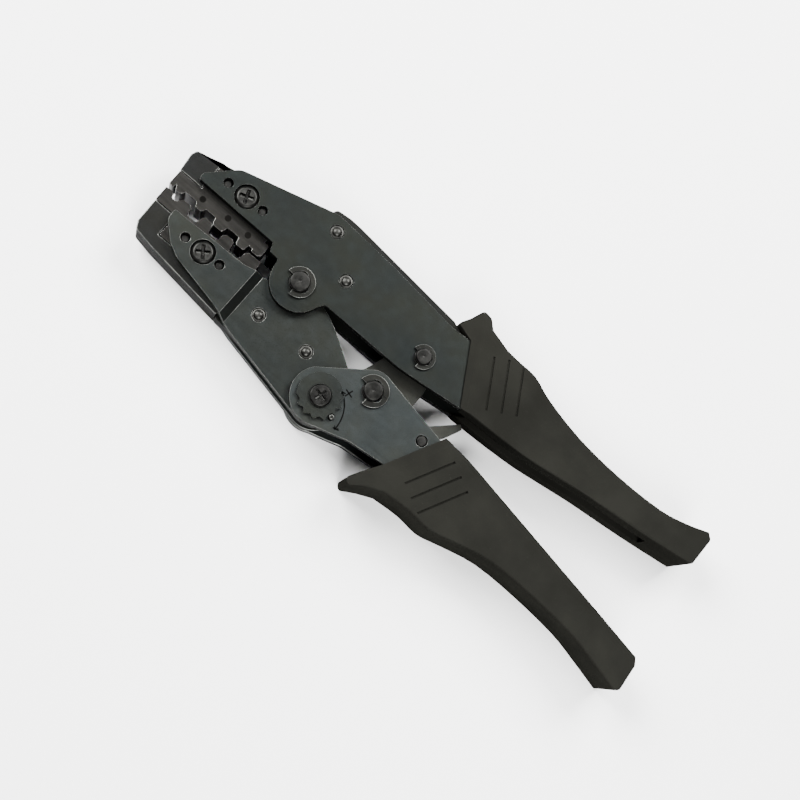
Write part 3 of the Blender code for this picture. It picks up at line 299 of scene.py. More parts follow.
@dataclass(frozen=True)
class Oxide:
    """Blackened steel: cloudy colour, sandy grain and faint rubbing marks."""

    name: str
    colour: tuple
    tint: tuple
    metallic: float = 0.75
    roughness: float = 0.42
    grain: float = 1.0

    def material(self) -> bpy.types.Material:
        """The finish as a material.

        Returns:
            A material whose colour clouds between base and tint, with grain and rub marks.
        """
        graph = Graph(self.name)
        clouds = graph.spread(graph.noise(55.0, 3.0), 0.28, 0.72)
        colour = graph.blend(clouds, self.colour, self.tint)
        patches = graph.spread(graph.noise(240.0, 4.0, 0.6), 0.45, 0.80, 0.0, 0.6)
        colour = graph.blend(patches, colour, shade(self.colour, 1.4))
        grain = graph.noise(3200.0, 3.0, 0.7)
        specks = graph.spread(grain, 0.56, 0.72)
        colour = graph.blend(specks, colour, shade(self.tint, 0.45))
        graph.link(colour, graph.shader.inputs["Base Color"])
        rubs = graph.noise(500.0, 4.0, 0.7, graph.mapped((0.18, 2.0, 1.0), turn=(0.0, 0.0, -24.0)))
        rough = graph.add(graph.spread(clouds, 0.0, 1.0, self.roughness - 0.05,
                                       self.roughness + 0.06),
                          graph.spread(rubs, 0.35, 0.65, -1.0, 1.0), 0.06)
        graph.link(rough, graph.shader.inputs["Roughness"])
        graph.shader.inputs["Metallic"].default_value = self.metallic
        graph.dim_grazing(0.06)
        graph.bump(graph.add(grain, rubs, 0.35), 0.35 * self.grain, 0.05)
        return graph.material


@dataclass(frozen=True)
class WornEdgeAndHighlight:
    """Bright steel where an edge has lost its blackening, together with a painted highlight along
    the bevel.
    """

    name: str
    colour: tuple
    bright: tuple
    roughness: float = 0.3
    wear: float = 0.5

    def material(self) -> bpy.types.Material:
        """The finish as a material.

        Returns:
            A material broken between dark oxide and a bright colour along the edge: bare steel
            where it is worn, and a painted highlight on the bevel.
        """
        graph = Graph(self.name)
        # the bright share paints worn steel and a highlight on the bevel together
        broken = graph.spread(graph.noise(160.0, 4.0, 0.6), self.wear - 0.2, self.wear + 0.2)
        colour = graph.blend(broken, self.colour, self.bright)
        graph.link(colour, graph.shader.inputs["Base Color"])
        graph.link(graph.spread(broken, 0.0, 1.0, self.roughness + 0.15, self.roughness),
                   graph.shader.inputs["Roughness"])
        graph.shader.inputs["Metallic"].default_value = 0.9
        graph.bump(graph.noise(2600.0, 3.0, 0.6), 0.25, 0.03)
        return graph.material


@dataclass(frozen=True)
class Turned:
    """Steel off a lathe: fine rings about the part's own axis, darkened in the grooves."""

    name: str
    colour: tuple
    centre: tuple
    roughness: float = 0.34
    ring_scale: float = 900.0

    def material(self) -> bpy.types.Material:
        """The finish as a material.

        Returns:
            A material with turning rings about the centre and cloudy oxide.
        """
        graph = Graph(self.name)
        rings = graph.rings(self.ring_scale, graph.mapped(centre=self.centre))
        clouds = graph.spread(graph.noise(420.0, 4.0), 0.35, 0.65)
        colour = graph.blend(clouds, shade(self.colour, 0.72), shade(self.colour, 1.2))
        colour = graph.blend(graph.spread(rings, 0.0, 1.0, 0.0, 0.35), colour,
                             shade(self.colour, 0.5))
        graph.link(colour, graph.shader.inputs["Base Color"])
        graph.link(graph.spread(clouds, 0.0, 1.0, self.roughness - 0.06, self.roughness + 0.1),
                   graph.shader.inputs["Roughness"])
        graph.shader.inputs["Metallic"].default_value = 0.9
        graph.bump(graph.add(rings, graph.noise(2800.0, 2.0), 0.5), 0.3, 0.03)
        return graph.material


@dataclass(frozen=True)
class Ground:
    """Die steel off a surface grinder: fine parallel lines with a light oxide."""

    name: str
    colour: tuple
    roughness: float = 0.36

    def material(self) -> bpy.types.Material:
        """The finish as a material.

        Returns:
            A material with grinding lines along the die.
        """
        graph = Graph(self.name)
        lines = graph.noise(1500.0, 3.0, 0.6, graph.mapped((0.06, 1.6, 0.06)))
        clouds = graph.spread(graph.noise(180.0, 4.0), 0.35, 0.68)
        colour = graph.blend(clouds, shade(self.colour, 0.6), self.colour)
        colour = graph.blend(graph.spread(lines, 0.45, 0.7, 0.0, 0.4), colour,
                             shade(self.colour, 1.5))
        graph.link(colour, graph.shader.inputs["Base Color"])
        graph.link(graph.spread(lines, 0.3, 0.7, self.roughness - 0.07, self.roughness + 0.1),
                   graph.shader.inputs["Roughness"])
        graph.shader.inputs["Metallic"].default_value = 0.9
        graph.bump(lines, 0.3, 0.03)
        return graph.material


@dataclass(frozen=True)
class Moulded:
    """Moulded grip plastic: spark-eroded grain, faint dust specks and rubbed patches."""

    name: str
    colour: tuple
    roughness: float = 0.55
    dust: float = 1.9

    def material(self) -> bpy.types.Material:
        """The finish as a material.

        Returns:
            A matte material with fine grain and uneven gloss.
        """
        graph = Graph(self.name)
        clouds = graph.spread(graph.noise(45.0, 4.0), 0.35, 0.65)
        colour = graph.blend(clouds, shade(self.colour, 0.85), shade(self.colour, 1.18))
        specks = graph.spread(graph.noise(2100.0, 2.0, 0.8), 0.66, 0.78)
        colour = graph.blend(specks, colour, shade(self.colour, self.dust))
        graph.link(colour, graph.shader.inputs["Base Color"])
        rubbed = graph.noise(130.0, 5.0, 0.65)
        graph.link(graph.spread(rubbed, 0.32, 0.68, self.roughness - 0.09, self.roughness + 0.08),
                   graph.shader.inputs["Roughness"])
        graph.dim_grazing(0.0)
        graph.bump(graph.noise(2600.0, 4.0, 0.6), 0.5, 0.06)
        return graph.material


@dataclass(frozen=True)
class Paper:
    """Plain pale backing paper with a faint tooth."""

    name: str
    colour: tuple

    def material(self) -> bpy.types.Material:
        """The finish as a material.

        Returns:
            A matte material with a slight unevenness.
        """
        graph = Graph(self.name)
        tooth = graph.noise(900.0, 3.0)
        graph.link(graph.blend(tooth, self.colour, shade(self.colour, 1.01)),
                   graph.shader.inputs["Base Color"])
        graph.shader.inputs["Roughness"].default_value = 0.9
        graph.bump(tooth, 0.05, 0.02)
        return graph.material


PLATE_OXIDE = Oxide("plate_oxide", (0.0075, 0.0088, 0.0086), (0.0085, 0.0091, 0.0074))
JAW_OXIDE = Oxide("jaw_oxide", (0.0106, 0.0121, 0.0118), (0.0112, 0.0120, 0.0101))
HANDLE_OXIDE = Oxide("handle_oxide", (0.0150, 0.0175, 0.0178), (0.0160, 0.0172, 0.0152))
CORE_OXIDE = Oxide("core_oxide", (0.0062, 0.0065, 0.0064), (0.0078, 0.0078, 0.0068), roughness=0.5,
                   grain=1.8)
# edge colours: partly bare steel where the blackening is rubbed off, partly a painted highlight
# along each bevel
PLATE_EDGE = WornEdgeAndHighlight("plate_edge", (0.022, 0.024, 0.023), (0.165, 0.168, 0.155))
CORE_EDGE = WornEdgeAndHighlight("core_edge", (0.016, 0.017, 0.016), (0.09, 0.095, 0.09), wear=0.56)
DIE_GROUND = Ground("die_ground", (0.0088, 0.0084, 0.0074))
# bright die edges: worn steel and a painted highlight on the nests' chamfers
DIE_EDGE = WornEdgeAndHighlight("die_edge", (0.055, 0.055, 0.051), (0.30, 0.30, 0.285), 0.22, 0.44)
RING_OXIDE = Oxide("ring_oxide", (0.0095, 0.0098, 0.009), (0.012, 0.0122, 0.0108), roughness=0.34)
SPRING_WIRE = Oxide("spring_wire", (0.07, 0.07, 0.068), (0.05, 0.05, 0.048), 0.95, 0.28, 0.5)
GRIP_PLASTIC = Moulded("grip_moulded", (0.0074, 0.0074, 0.0063))
# a lighter copy of the grip plastic on the grips' bevels: a painted highlight along the edges
GRIP_EDGE_HIGHLIGHT = Moulded("grip_moulded_edge_highlight", (0.0100, 0.0100, 0.0086), 0.5)
NEST_STAIN = Moulded("nest_stain", (0.0030, 0.0029, 0.0026), 0.7, 1.5)
MARK_STAIN = Moulded("mark_stain", (0.0012, 0.0012, 0.0011), 0.7, 1.5)
# oxide of the toggle link and the pawl, painted lighter than the core to stand in for light on
# parts that sit in shade between the plates
LINK_OXIDE_PAINTED_LIGHT = Oxide("link_oxide_painted_light", (0.017, 0.0178, 0.0162), (0.0205, 0.0202, 0.0166), roughness=0.5)
PIN_COLOUR = (0.009, 0.009, 0.0082)
RIVET_COLOUR = (0.022, 0.022, 0.020)
DIE_SCREW_COLOUR = (0.0115, 0.0115, 0.0105)

_made: dict[str, bpy.types.Material] = {}


def dressed(finish: object) -> bpy.types.Material:
    """The finish's material, made once.

    Args:
        finish: one of the finish classes.

    Returns:
        Its material.
    """
    if finish.name not in _made:
        _made[finish.name] = finish.material()
    return _made[finish.name]


# --------------------------------------------------------------------------- surfaces


def grid_faces(rows: int, columns: int) -> np.ndarray:
    """Quads of a grid that closes round in its columns.

    Vertex (i, j) is number i * columns + j, and each quad joins (i, j), (i + 1, j),
    (i + 1, j + 1) and (i, j + 1), with j taken round.

    Args:
        rows: number of rows.
        columns: number of columns.

    Returns:
        An array of vertex numbers, four a face.
    """
    row, column = np.meshgrid(np.arange(rows - 1), np.arange(columns), indexing="ij")
    following = (column + 1) % columns
    return np.stack([row * columns + column, (row + 1) * columns + column,
                     (row + 1) * columns + following, row * columns + following],
                    axis=-1).reshape(-1, 4)


def closed_tube(sections: np.ndarray, first: np.ndarray, last: np.ndarray) -> tuple:
    """A surface through closed sections, brought to a point at both ends.

    Args:
        sections: (rows, columns, 3) places, each row a closed section.
        first: the point that closes the first section.
        last: the point that closes the last section.

    Returns:
        Vertices and a list of faces.
    """
    rows, columns, _ = sections.shape
    vertices = np.vstack([sections.reshape(-1, 3), first[None], last[None]])
    quads = grid_faces(rows, columns)
    column = np.arange(columns)
    following = (column + 1) % columns
    top = np.full(columns, rows * columns)
    start = np.stack([top, column, following], axis=-1)
    base = (rows - 1) * columns
    end = np.stack([base + column, top + 1, base + following], axis=-1)
    return vertices, quads.tolist() + start.tolist() + end.tolist()


def soften(corners: list, radius: float, steps: int = 4) -> np.ndarray:
    """A profile whose inner corners are rounded.

    Each corner becomes a quadratic curve from a point before it to a point after it, no
    further away than the radius or the corner share of the neighbouring run.

    Args:
        corners: (radius, height) pairs, from top to bottom.
        radius: how far the rounding reaches along each run.
        steps: pieces of each curve.

    Returns:
        The profile as an array of pairs.
    """
    points = np.array(corners, dtype=float)
    before = points[:-2] - points[1:-1]
    after = points[2:] - points[1:-1]
    size_before = np.linalg.norm(before, axis=1, keepdims=True)
    size_after = np.linalg.norm(after, axis=1, keepdims=True)
    reach = np.minimum(radius, CORNER_SHARE * np.minimum(size_before, size_after))
    start = points[1:-1] + before / size_before * reach
    end = points[1:-1] + after / size_after * reach
    t = np.linspace(0.0, 1.0, steps + 1)[None, :, None]
    curves = ((1 - t) ** 2 * start[:, None] + 2 * t * (1 - t) * points[1:-1, None]
              + t * t * end[:, None])
    return np.vstack([points[:1], curves.reshape(-1, 2), points[-1:]])


def turned_surface(profile: np.ndarray, place: np.ndarray, steps: int = 72) -> tuple:
    """A profile turned about an upright axis.

    Vertex (i, j) lies at the axis plus radius i in the direction j / steps of a turn, at
    height i. The first and last points of the profile lie on the axis and close the surface.

    Args:
        profile: (radius, height) pairs in millimetres, from top to bottom.
        place: X and Y of the axis, in millimetres.
        steps: points round the axis.

    Returns:
        Vertices in millimetres and faces.
    """
    angle = np.linspace(0.0, math.tau, steps, endpoint=False)
    rings = profile[1:-1]
    sections = np.empty((len(rings), steps, 3))
    sections[:, :, 0] = place[0] + rings[:, :1] * np.cos(angle)
    sections[:, :, 1] = place[1] + rings[:, :1] * np.sin(angle)
    sections[:, :, 2] = rings[:, 1:]
    first = np.array([place[0], place[1], profile[0, 1]])
    last = np.array([place[0], place[1], profile[-1, 1]])
    return closed_tube(sections, first, last)


def wire_surface(path: np.ndarray, radius: float, sides: int = 10) -> tuple:
    """A round wire along a path.

    Each section is a circle across the path's direction there, in the frame of that
    direction, the upright axis and their cross product.

    Args:
        path: (n, 3) places in millimetres.
        radius: the wire's radius.
        sides: points round the wire.

    Returns:
        Vertices in millimetres and faces.
    """
    along = np.gradient(path, axis=0)
    along /= np.linalg.norm(along, axis=1, keepdims=True)
    across = np.cross(along, np.array([0.0, 0.0, 1.0]))
    across /= np.linalg.norm(across, axis=1, keepdims=True)
    upward = np.cross(across, along)
    angle = np.linspace(0.0, math.tau, sides, endpoint=False)
    circle = (np.cos(angle)[None, :, None] * across[:, None]
              - np.sin(angle)[None, :, None] * upward[:, None])
    sections = path[:, None] + radius * circle
    return closed_tube(sections, path[0], path[-1])


def strip_surface(path: np.ndarray, width: float, low: float, high: float) -> tuple:
    """A thin flat strip along a path.

    Each section is a rectangle: half the width to each side of the path, from the low to the
    high height.

    Args:
        path: (n, 2) places in millimetres.
        width: the strip's width.
        low: its lower face.
        high: its upper face.

    Returns:
        Vertices in millimetres and faces.
    """
    along = np.gradient(path, axis=0)
    along /= np.linalg.norm(along, axis=1, keepdims=True)
    left = np.stack([-along[:, 1], along[:, 0]], axis=1) * 0.5 * width
    sections = np.empty((len(path), 4, 3))
    for column, (side, height) in enumerate(((1, low), (1, high), (-1, high), (-1, low))):
        sections[:, column, :2] = path + side * left
        sections[:, column, 2] = height
    return closed_tube(sections, sections[0].mean(axis=0), sections[-1].mean(axis=0))


def piece_from(name: str, vertices: np.ndarray, faces: list, finish: object) -> bpy.types.Object:
    """A finished piece from a surface in the plier's own frame.

    Args:
        name: the piece's name.
        vertices: places in millimetres.
        faces: vertex numbers of each face.
        finish: its finish.

    Returns:
        The object, at the origin, with outward faces and smooth shading.
    """
    mesh = bpy.data.meshes.new(name)
    mesh.from_pydata(world(vertices).tolist(), [], faces)
    work = bmesh.new()
    work.from_mesh(mesh)
    bmesh.ops.recalc_face_normals(work, faces=work.faces)
    work.to_mesh(mesh)
    work.free()
    mesh.shade_smooth()
    mesh.set_sharp_from_angle(angle=SHARP_ANGLE)
    mesh.materials.append(dressed(finish))
    piece = bpy.data.objects.new(name, mesh)
    bpy.context.scene.collection.objects.link(piece)
    return piece


# --------------------------------------------------------------------------- sub-assemblies


@dataclass
class SubAssembly:
    """A group of pieces that ride on one body."""

    body: Body
    pieces: list = field(default_factory=list)

    def keep(self, piece: bpy.types.Object, slot: Slot, *nodes: str) -> bpy.types.Object:
        """Put a piece on the body and hide the CAD nodes it replaces.

        Args:
            piece: the finished object.
            slot: its material slot; not used.
            nodes: the CAD nodes it replaces.

        Returns:
            The piece.
        """
        if nodes:
            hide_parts(*nodes)
        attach(piece, self.body.value)
        self.pieces.append(piece)
        return piece

    def machined(self, node: str, face: object, edge: object, slot: Slot,
                 width: float = 0.3, segments: int = 2) -> bpy.types.Object:
        """A copy of a CAD node with its sharp edges broken by a narrow bevel.

        Args:
            node: the CAD node.
            face: finish of its faces.
            edge: finish of its bevels.
            slot: its material slot.
            width: the bevel's width, in millimetres.
            segments: rows of faces in the bevel.

        Returns:
            The piece, which replaces the node.
        """
        work = bmesh.new()
        work.from_mesh(frame["nodes"][node].data)
        bmesh.ops.remove_doubles(work, verts=work.verts, dist=MERGE_DISTANCE)
        bmesh.ops.dissolve_limit(work, angle_limit=FLAT_ANGLE, verts=work.verts, edges=work.edges)
        mesh = bpy.data.meshes.new(node)
        work.to_mesh(mesh)
        work.free()
        mesh.shade_smooth()
        mesh.materials.append(dressed(face))
        mesh.materials.append(dressed(edge))
        mesh.polygons.foreach_set("material_index", np.zeros(len(mesh.polygons), dtype=np.int32))
        piece = bpy.data.objects.new(f"{node}_finished", mesh)
        bpy.context.scene.collection.objects.link(piece)
        bevel = piece.modifiers.new("broken_edges", "BEVEL")
        bevel.width = width * MM
        bevel.segments = segments
        bevel.limit_method = "ANGLE"
        bevel.angle_limit = SHARP_ANGLE
        bevel.material = 1
        weigh = piece.modifiers.new("flat_faces", "WEIGHTED_NORMAL")
        weigh.mode = "FACE_AREA"
        weigh.weight = FLAT_FACE_WEIGHT
        return self.keep(piece, slot, node)

    def turned(self, node: str, profile: np.ndarray, place: tuple, slot: Slot = Slot.PIN,
               colour: tuple = PIN_COLOUR) -> bpy.types.Object:
        """A turned part in place of a CAD node.

        Args:
            node: the CAD node.
            profile: (radius, height) pairs from top to bottom.
            place: X and Y of its axis.
            slot: its material slot.
            colour: the steel's colour.

        Returns:
            The piece.
        """
        vertices, faces = turned_surface(profile, np.array(place))
        finish = Turned(f"turned_{node}", colour, tuple(world((place[0], place[1], 0.0))))
        return self.keep(piece_from(f"{node}_finished", vertices, faces, finish), slot, node)


def node_box(node: str) -> tuple:
    """A node's box in the plier's own frame.

    Args:
        node: the CAD node.

    Returns:
        Its low and high corners in millimetres.
    """
    low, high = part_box(node)
    return (np.array(low) - ORIGIN) / MM, (np.array(high) - ORIGIN) / MM


def node_axis(node: str) -> tuple:
    """X and Y of the axis of a round node.

    Args:
        node: the CAD node.

    Returns:
        The middle of its box, in millimetres.
    """
    low, high = node_box(node)
    middle = 0.5 * (low + high)
    return (float(middle[0]), float(middle[1]))


@dataclass
class Hardware:
    """Sizes and profiles of the pins, rivets and screws."""

    chamfer: float = 0.35
    groove_depth: float = 0.95
    dimple_radius: float = 0.5
    dimple_depth: float = 0.12
    ring_seat: float = 1.4
    head_height: float = 1.7
    rivet_ring: float = 0.62
    recess_softness: float = 0.22
    recess_fall: tuple = (1.15, 0.55)
    crown_drop: float = 0.06
    crown_rows: int = 40
    crown_corners: int = 6
    face_depth: float = 0.5
    screw_steps: int = 120
    die_recess: tuple = (2.4, 1.0, 1.5)
    die_screw_shaft: float = 2.2
    die_screw_head: float = 2.8
    die_screw_softness: float = 0.25
    pin_softness: float = 0.12
    rivet_softness: float = 0.16

    def pin_profile(self, radius: float, top: float, bottom: float, head: float) -> np.ndarray:
        """Profile of a pivot pin: centre mark, face, ring groove, shaft and rear head.

        Args:
            radius: the shaft's radius.
            top: height of its front face.
            bottom: height of its rear face.
            head: the head's radius.

        Returns:
            The softened profile.
        """
        groove = radius - self.groove_depth
        seat_high = PLATE_FACE + self.ring_seat
        head_top = bottom + self.head_height
        corners = [
            (0.0, top - self.dimple_depth), (self.dimple_radius, top),
            (radius * 0.55, top),
            (radius - self.chamfer, top), (radius, top - self.chamfer), (radius, seat_high),
            (groove, seat_high), (groove, PLATE_FACE), (radius, PLATE_FACE),
            (radius, head_top), (head, head_top), (head, bottom + self.chamfer),
            (head - self.chamfer, bottom), (self.dimple_radius, bottom),
            (0.0, bottom + self.dimple_depth),
        ]
        return soften(corners, self.pin_softness)

    def rivet_profile(self, radius: float, top: float, bottom: float, dome: float) -> np.ndarray:
        """Profile of a rivet set flush: a bright crown inside a sunk ring, on both ends.

        Args:
            radius: the rivet's radius.
            top: height of its front crown.
            bottom: height of its rear crown.
            dome: the crown's height over the plate.

        Returns:
            The softened profile.
        """
        ring = radius * self.rivet_ring
        half = [
            (0.0, 0.0), (0.5 * ring, -0.08 * dome), (ring, -0.5 * dome),
            (ring + 0.25, -1.3 * dome), (radius, -1.35 * dome),
        ]
        upper = [(r, top + h) for r, h in half]
        lower = [(r, bottom - h) for r, h in reversed(half)]
        return soften(upper + lower, self.rivet_softness)

    def screw_surface(self, place: tuple, profile: np.ndarray, arm: float, width: float,
                      depth: float, turn: float) -> tuple:
        """A turned screw whose front face is pressed in with a cross recess.

        The height of each point of the front face falls by the depth times a factor. The
        factor goes from 0 to 1 over the softness across the outline of a cross, which is two
        bars at right angles, and falls off along each arm.

        Args:
            place: X and Y of the screw's axis.
            profile: (radius, height) pairs from top to bottom.
            arm: half the length of a bar.
            width: width of a bar.
            depth: depth of the recess.
            turn: turn of the cross, in degrees.

        Returns:
            Vertices in millimetres and faces.
        """
        top = profile[0, 1]
        below = profile[:, 1] < top - self.crown_drop
        rim = profile[np.argmax(below), 0]
        inner = np.linspace(0.0, rim, self.crown_rows)
        crown_profile = profile[:self.crown_corners]
        crown = np.interp(inner, crown_profile[:, 0], crown_profile[:, 1])
        rest = profile[below]
        dense = np.vstack([np.stack([inner, crown], axis=1), rest])
        vertices, faces = turned_surface(dense, np.array(place), self.screw_steps)
        x = vertices[:, 0] - place[0]
        y = vertices[:, 1] - place[1]
        angle = math.radians(turn)
        u = np.abs(x * math.cos(angle) + y * math.sin(angle))
        v = np.abs(y * math.cos(angle) - x * math.sin(angle))
        bar_one = np.maximum(u - arm, v - 0.5 * width)
        bar_two = np.maximum(v - arm, u - 0.5 * width)
        outside = np.minimum(bar_one, bar_two)
        share = np.clip(0.5 - outside / self.recess_softness, 0.0, 1.0)
        start, slope = self.recess_fall
        taper = np.clip(start - slope * np.hypot(x, y) / arm, 0.0, 1.0)
        on_face = vertices[:, 2] > top - self.face_depth
        vertices[:, 2] -= np.where(on_face, depth * share * taper, 0.0)
        return vertices, faces


@dataclass
class FixedHandle(SubAssembly):
    """The fixed handle: plates, spine, upper die, pins, rivets and grip."""

    body: Body = Body.FRAME
    hardware: Hardware = field(default_factory=Hardware)
    main_radius: float = 3.55
    link_radius: float = 2.85
    recess_turn: float = 20.0
    spring_clearance: float = 0.97
    spring_wire: float = 0.32
    spring_start: float = 30.0
    dot_radius: float = 1.15
    dot_rise: float = 0.04
    dot_sink: float = 0.2
    dot_flat: float = 0.8
    dot_steps: int = 24
    dots: tuple = ((-43.2, 1.1), (-32.6, 1.8), (-23.8, 1.8))

    def build(self) -> None:
        """Build every piece of the fixed handle."""
        for side in ("front", "rear"):
            self.machined(f"{side}_frame_plate", PLATE_OXIDE, PLATE_EDGE, Slot.PLATE, 0.5)
        self.machined("frame_spine", CORE_OXIDE, CORE_EDGE, Slot.CORE, 0.4)
        self.machined("upper_nose_block", CORE_OXIDE, PLATE_EDGE, Slot.CORE, 0.4)
        self.machined("upper_die", DIE_GROUND, DIE_EDGE, Slot.DIE, 0.22)
        add_die_screw(self, "upper_die_screw", self.recess_turn)
        add_dowels(self, "upper_die_dowel")
        add_rivets(self, "frame_rivet")
        add_pin(self, "main_pivot_pin", self.main_radius)
        add_pin(self, "link_pin", self.link_radius)
        for ring in ("main_pivot_ring", "link_pin_ring"):
            self.machined(ring, RING_OXIDE, PLATE_EDGE, Slot.PIN, 0.12)
        self.machined("fixed_grip", GRIP_PLASTIC, GRIP_EDGE_HIGHLIGHT, Slot.GRIP, 0.25)
        Spring("return_spring", "link_pivot", self.link_radius + self.spring_clearance,
               self.spring_wire, self.spring_start).build(self)
        self.build_dots()

    def build_dots(self) -> None:
        """Round stained spots on the upper die, as low discs beside its nests."""
        _, high = node_box("upper_die")
        for number, place in enumerate(self.dots, start=1):
            profile = np.array([
                (0.0, self.dot_rise), (self.dot_flat * self.dot_radius, self.dot_rise),
                (self.dot_radius, 0.0), (self.dot_radius, -self.dot_sink), (0.0, -self.dot_sink),
            ])
            profile[:, 1] += high[2]
            vertices, faces = turned_surface(profile, np.array(place), self.dot_steps)
            self.keep(piece_from(f"nest_dot_{number}", vertices, faces, NEST_STAIN), Slot.DIE)


@dataclass
class MovingJaw(SubAssembly):
    """The moving jaw: stepped plates, blocks, lower die, screw, dowels and rivets."""

    body: Body = Body.JAW
    hardware: Hardware = field(default_factory=Hardware)
    recess_turn: float = 35.0

    def build(self) -> None:
        """Build every piece of the moving jaw."""
        for side in ("front", "rear"):
            self.machined(f"{side}_jaw_plate", JAW_OXIDE, PLATE_EDGE, Slot.PLATE, 0.5)
        self.machined("lower_nose_block", CORE_OXIDE, PLATE_EDGE, Slot.CORE, 0.4)
        self.machined("jaw_core", CORE_OXIDE, CORE_EDGE, Slot.CORE)
        self.machined("lower_die", DIE_GROUND, DIE_EDGE, Slot.DIE, 0.34)
        add_die_screw(self, "lower_die_screw", self.recess_turn)
        add_dowels(self, "lower_die_dowel")
        add_rivets(self, "jaw_rivet")


@dataclass
class MovingHandle(SubAssembly):
    """The moving handle: plates, adjuster, toggle pin, pawl pin, marks and grip."""

    body: Body = Body.HANDLE
    hardware: Hardware = field(default_factory=Hardware)
    handle_radius: float = 3.5
    adjuster_radius: float = 4.2
    screw_recess: tuple = (2.2, 0.8, 0.8, 75.0)
    screw_softness: float = 0.15
    screw_shaft: float = 1.5
    pawl_spring: tuple = (2.9, 0.35, -60.0)
    mark_width: float = 0.42
    mark_height: float = 0.05
    arrow_radius: float = 12.8
    arrow_shift: tuple = (-1.8, -4.7)
    arrow_span: tuple = (-3.0, 59.0)
    arrow_head: tuple = (1.1, 0.8)
    arrow_points: int = 24
    mark_sink: float = 0.02
    plus_scale: float = 1.12
    plus_bar: tuple = ((4.8, 6.9), (7.6, 6.1))
    plus_post: tuple = ((5.8, 5.1), (6.6, 7.9))
    minus_bar: tuple = ((10.1, -5.2), (12.3, -4.7))

    def build(self) -> None:
        """Build every piece of the moving handle."""
        for side in ("front", "rear"):
            self.machined(f"{side}_handle_plate", HANDLE_OXIDE, PLATE_EDGE, Slot.PLATE, 0.5)
        self.machined("handle_core", CORE_OXIDE, CORE_EDGE, Slot.CORE)
        self.machined("adjuster_disc", JAW_OXIDE, PLATE_EDGE, Slot.PLATE, 0.15)
        self.machined("adjuster_pin", RING_OXIDE, PLATE_EDGE, Slot.PIN, 0.15)
        self.machined("adjuster_lock_pin", RING_OXIDE, PLATE_EDGE, Slot.PIN, 0.1)
        self.build_adjuster_screw()
        add_pin(self, "handle_pin", self.handle_radius)
        self.machined("handle_pin_ring", RING_OXIDE, PLATE_EDGE, Slot.PIN, 0.12)
        add_plain_pin(self, "pawl_pin")
        Spring("pawl_spring", "pawl_pivot", *self.pawl_spring).build(self)
        self.machined("moving_grip", GRIP_PLASTIC, GRIP_EDGE_HIGHLIGHT, Slot.GRIP, 0.25)
        self.build_marks()

    def build_adjuster_screw(self) -> None:
        """The cross-recess screw that holds the adjuster wheel."""
        low, high = node_box("adjuster_screw")
        place = node_axis("adjuster_screw")
        head = 0.5 * (high[0] - low[0])
        corners = [(0.0, high[2]), (head * 0.6, high[2] - 0.05), (head - 0.45, high[2] - 0.12),
                   (head, high[2] - 0.55), (head, high[2] - 1.1),
                   (self.screw_shaft, high[2] - 1.1), (self.screw_shaft, low[2]), (0.0, low[2])]
        profile = soften(corners, self.screw_softness)
        surface = self.hardware.screw_surface(place, profile, *self.screw_recess)
        finish = Turned("turned_adjuster_screw", PIN_COLOUR, tuple(world((*place, 0.0))))
        self.keep(piece_from("adjuster_screw_finished", *surface, finish), Slot.PIN,
                  "adjuster_screw")

    def build_marks(self) -> None:
        """A turning arrow with a plus and a minus beside the adjuster wheel."""
        centre = np.array(node_axis("adjuster_screw"))
        low = PLATE_FACE - self.mark_sink
        high = PLATE_FACE + self.mark_height
        first, last = (math.radians(value) for value in self.arrow_span)
        angle = np.linspace(first, last, self.arrow_points)
        pivot = centre + np.array(self.arrow_shift)
        arc = pivot + self.arrow_radius * np.stack([np.cos(angle), np.sin(angle)], axis=1)
        paths = {"arrow": arc}
        length, spread = self.arrow_head
        for name, end, sign in (("head_one", first, 1.0), ("head_two", last, -1.0)):
            tip = pivot + self.arrow_radius * np.array([math.cos(end), math.sin(end)])
            along = sign * np.array([-math.sin(end), math.cos(end)])
            across = np.array([math.cos(end), math.sin(end)])
            paths[name] = np.stack([tip + length * along + spread * across, tip,
                                    tip + length * along - spread * across])
        paths["plus_bar"] = centre + np.array(self.plus_bar) * self.plus_scale
        paths["plus_post"] = centre + np.array(self.plus_post) * self.plus_scale
        paths["minus_bar"] = centre + np.array(self.minus_bar)
        for name, path in paths.items():
            surface = strip_surface(path, self.mark_width, low, high)
            self.keep(piece_from(f"adjuster_mark_{name}", *surface, MARK_STAIN), Slot.PLATE)


@dataclass
class Linkage:
    """The toggle link and the pawl, each on its own body."""

    def build(self) -> tuple:
        """Build the link and the pawl.

        Returns:
            Both sub-assemblies.
        """
        link = SubAssembly(Body.LINK)
        link.machined("toggle_link", LINK_OXIDE_PAINTED_LIGHT, CORE_EDGE, Slot.CORE, 0.25)
        pawl = SubAssembly(Body.PAWL)
        pawl.machined("ratchet_pawl", LINK_OXIDE_PAINTED_LIGHT, CORE_EDGE, Slot.CORE, 0.3)
        return (link, pawl)


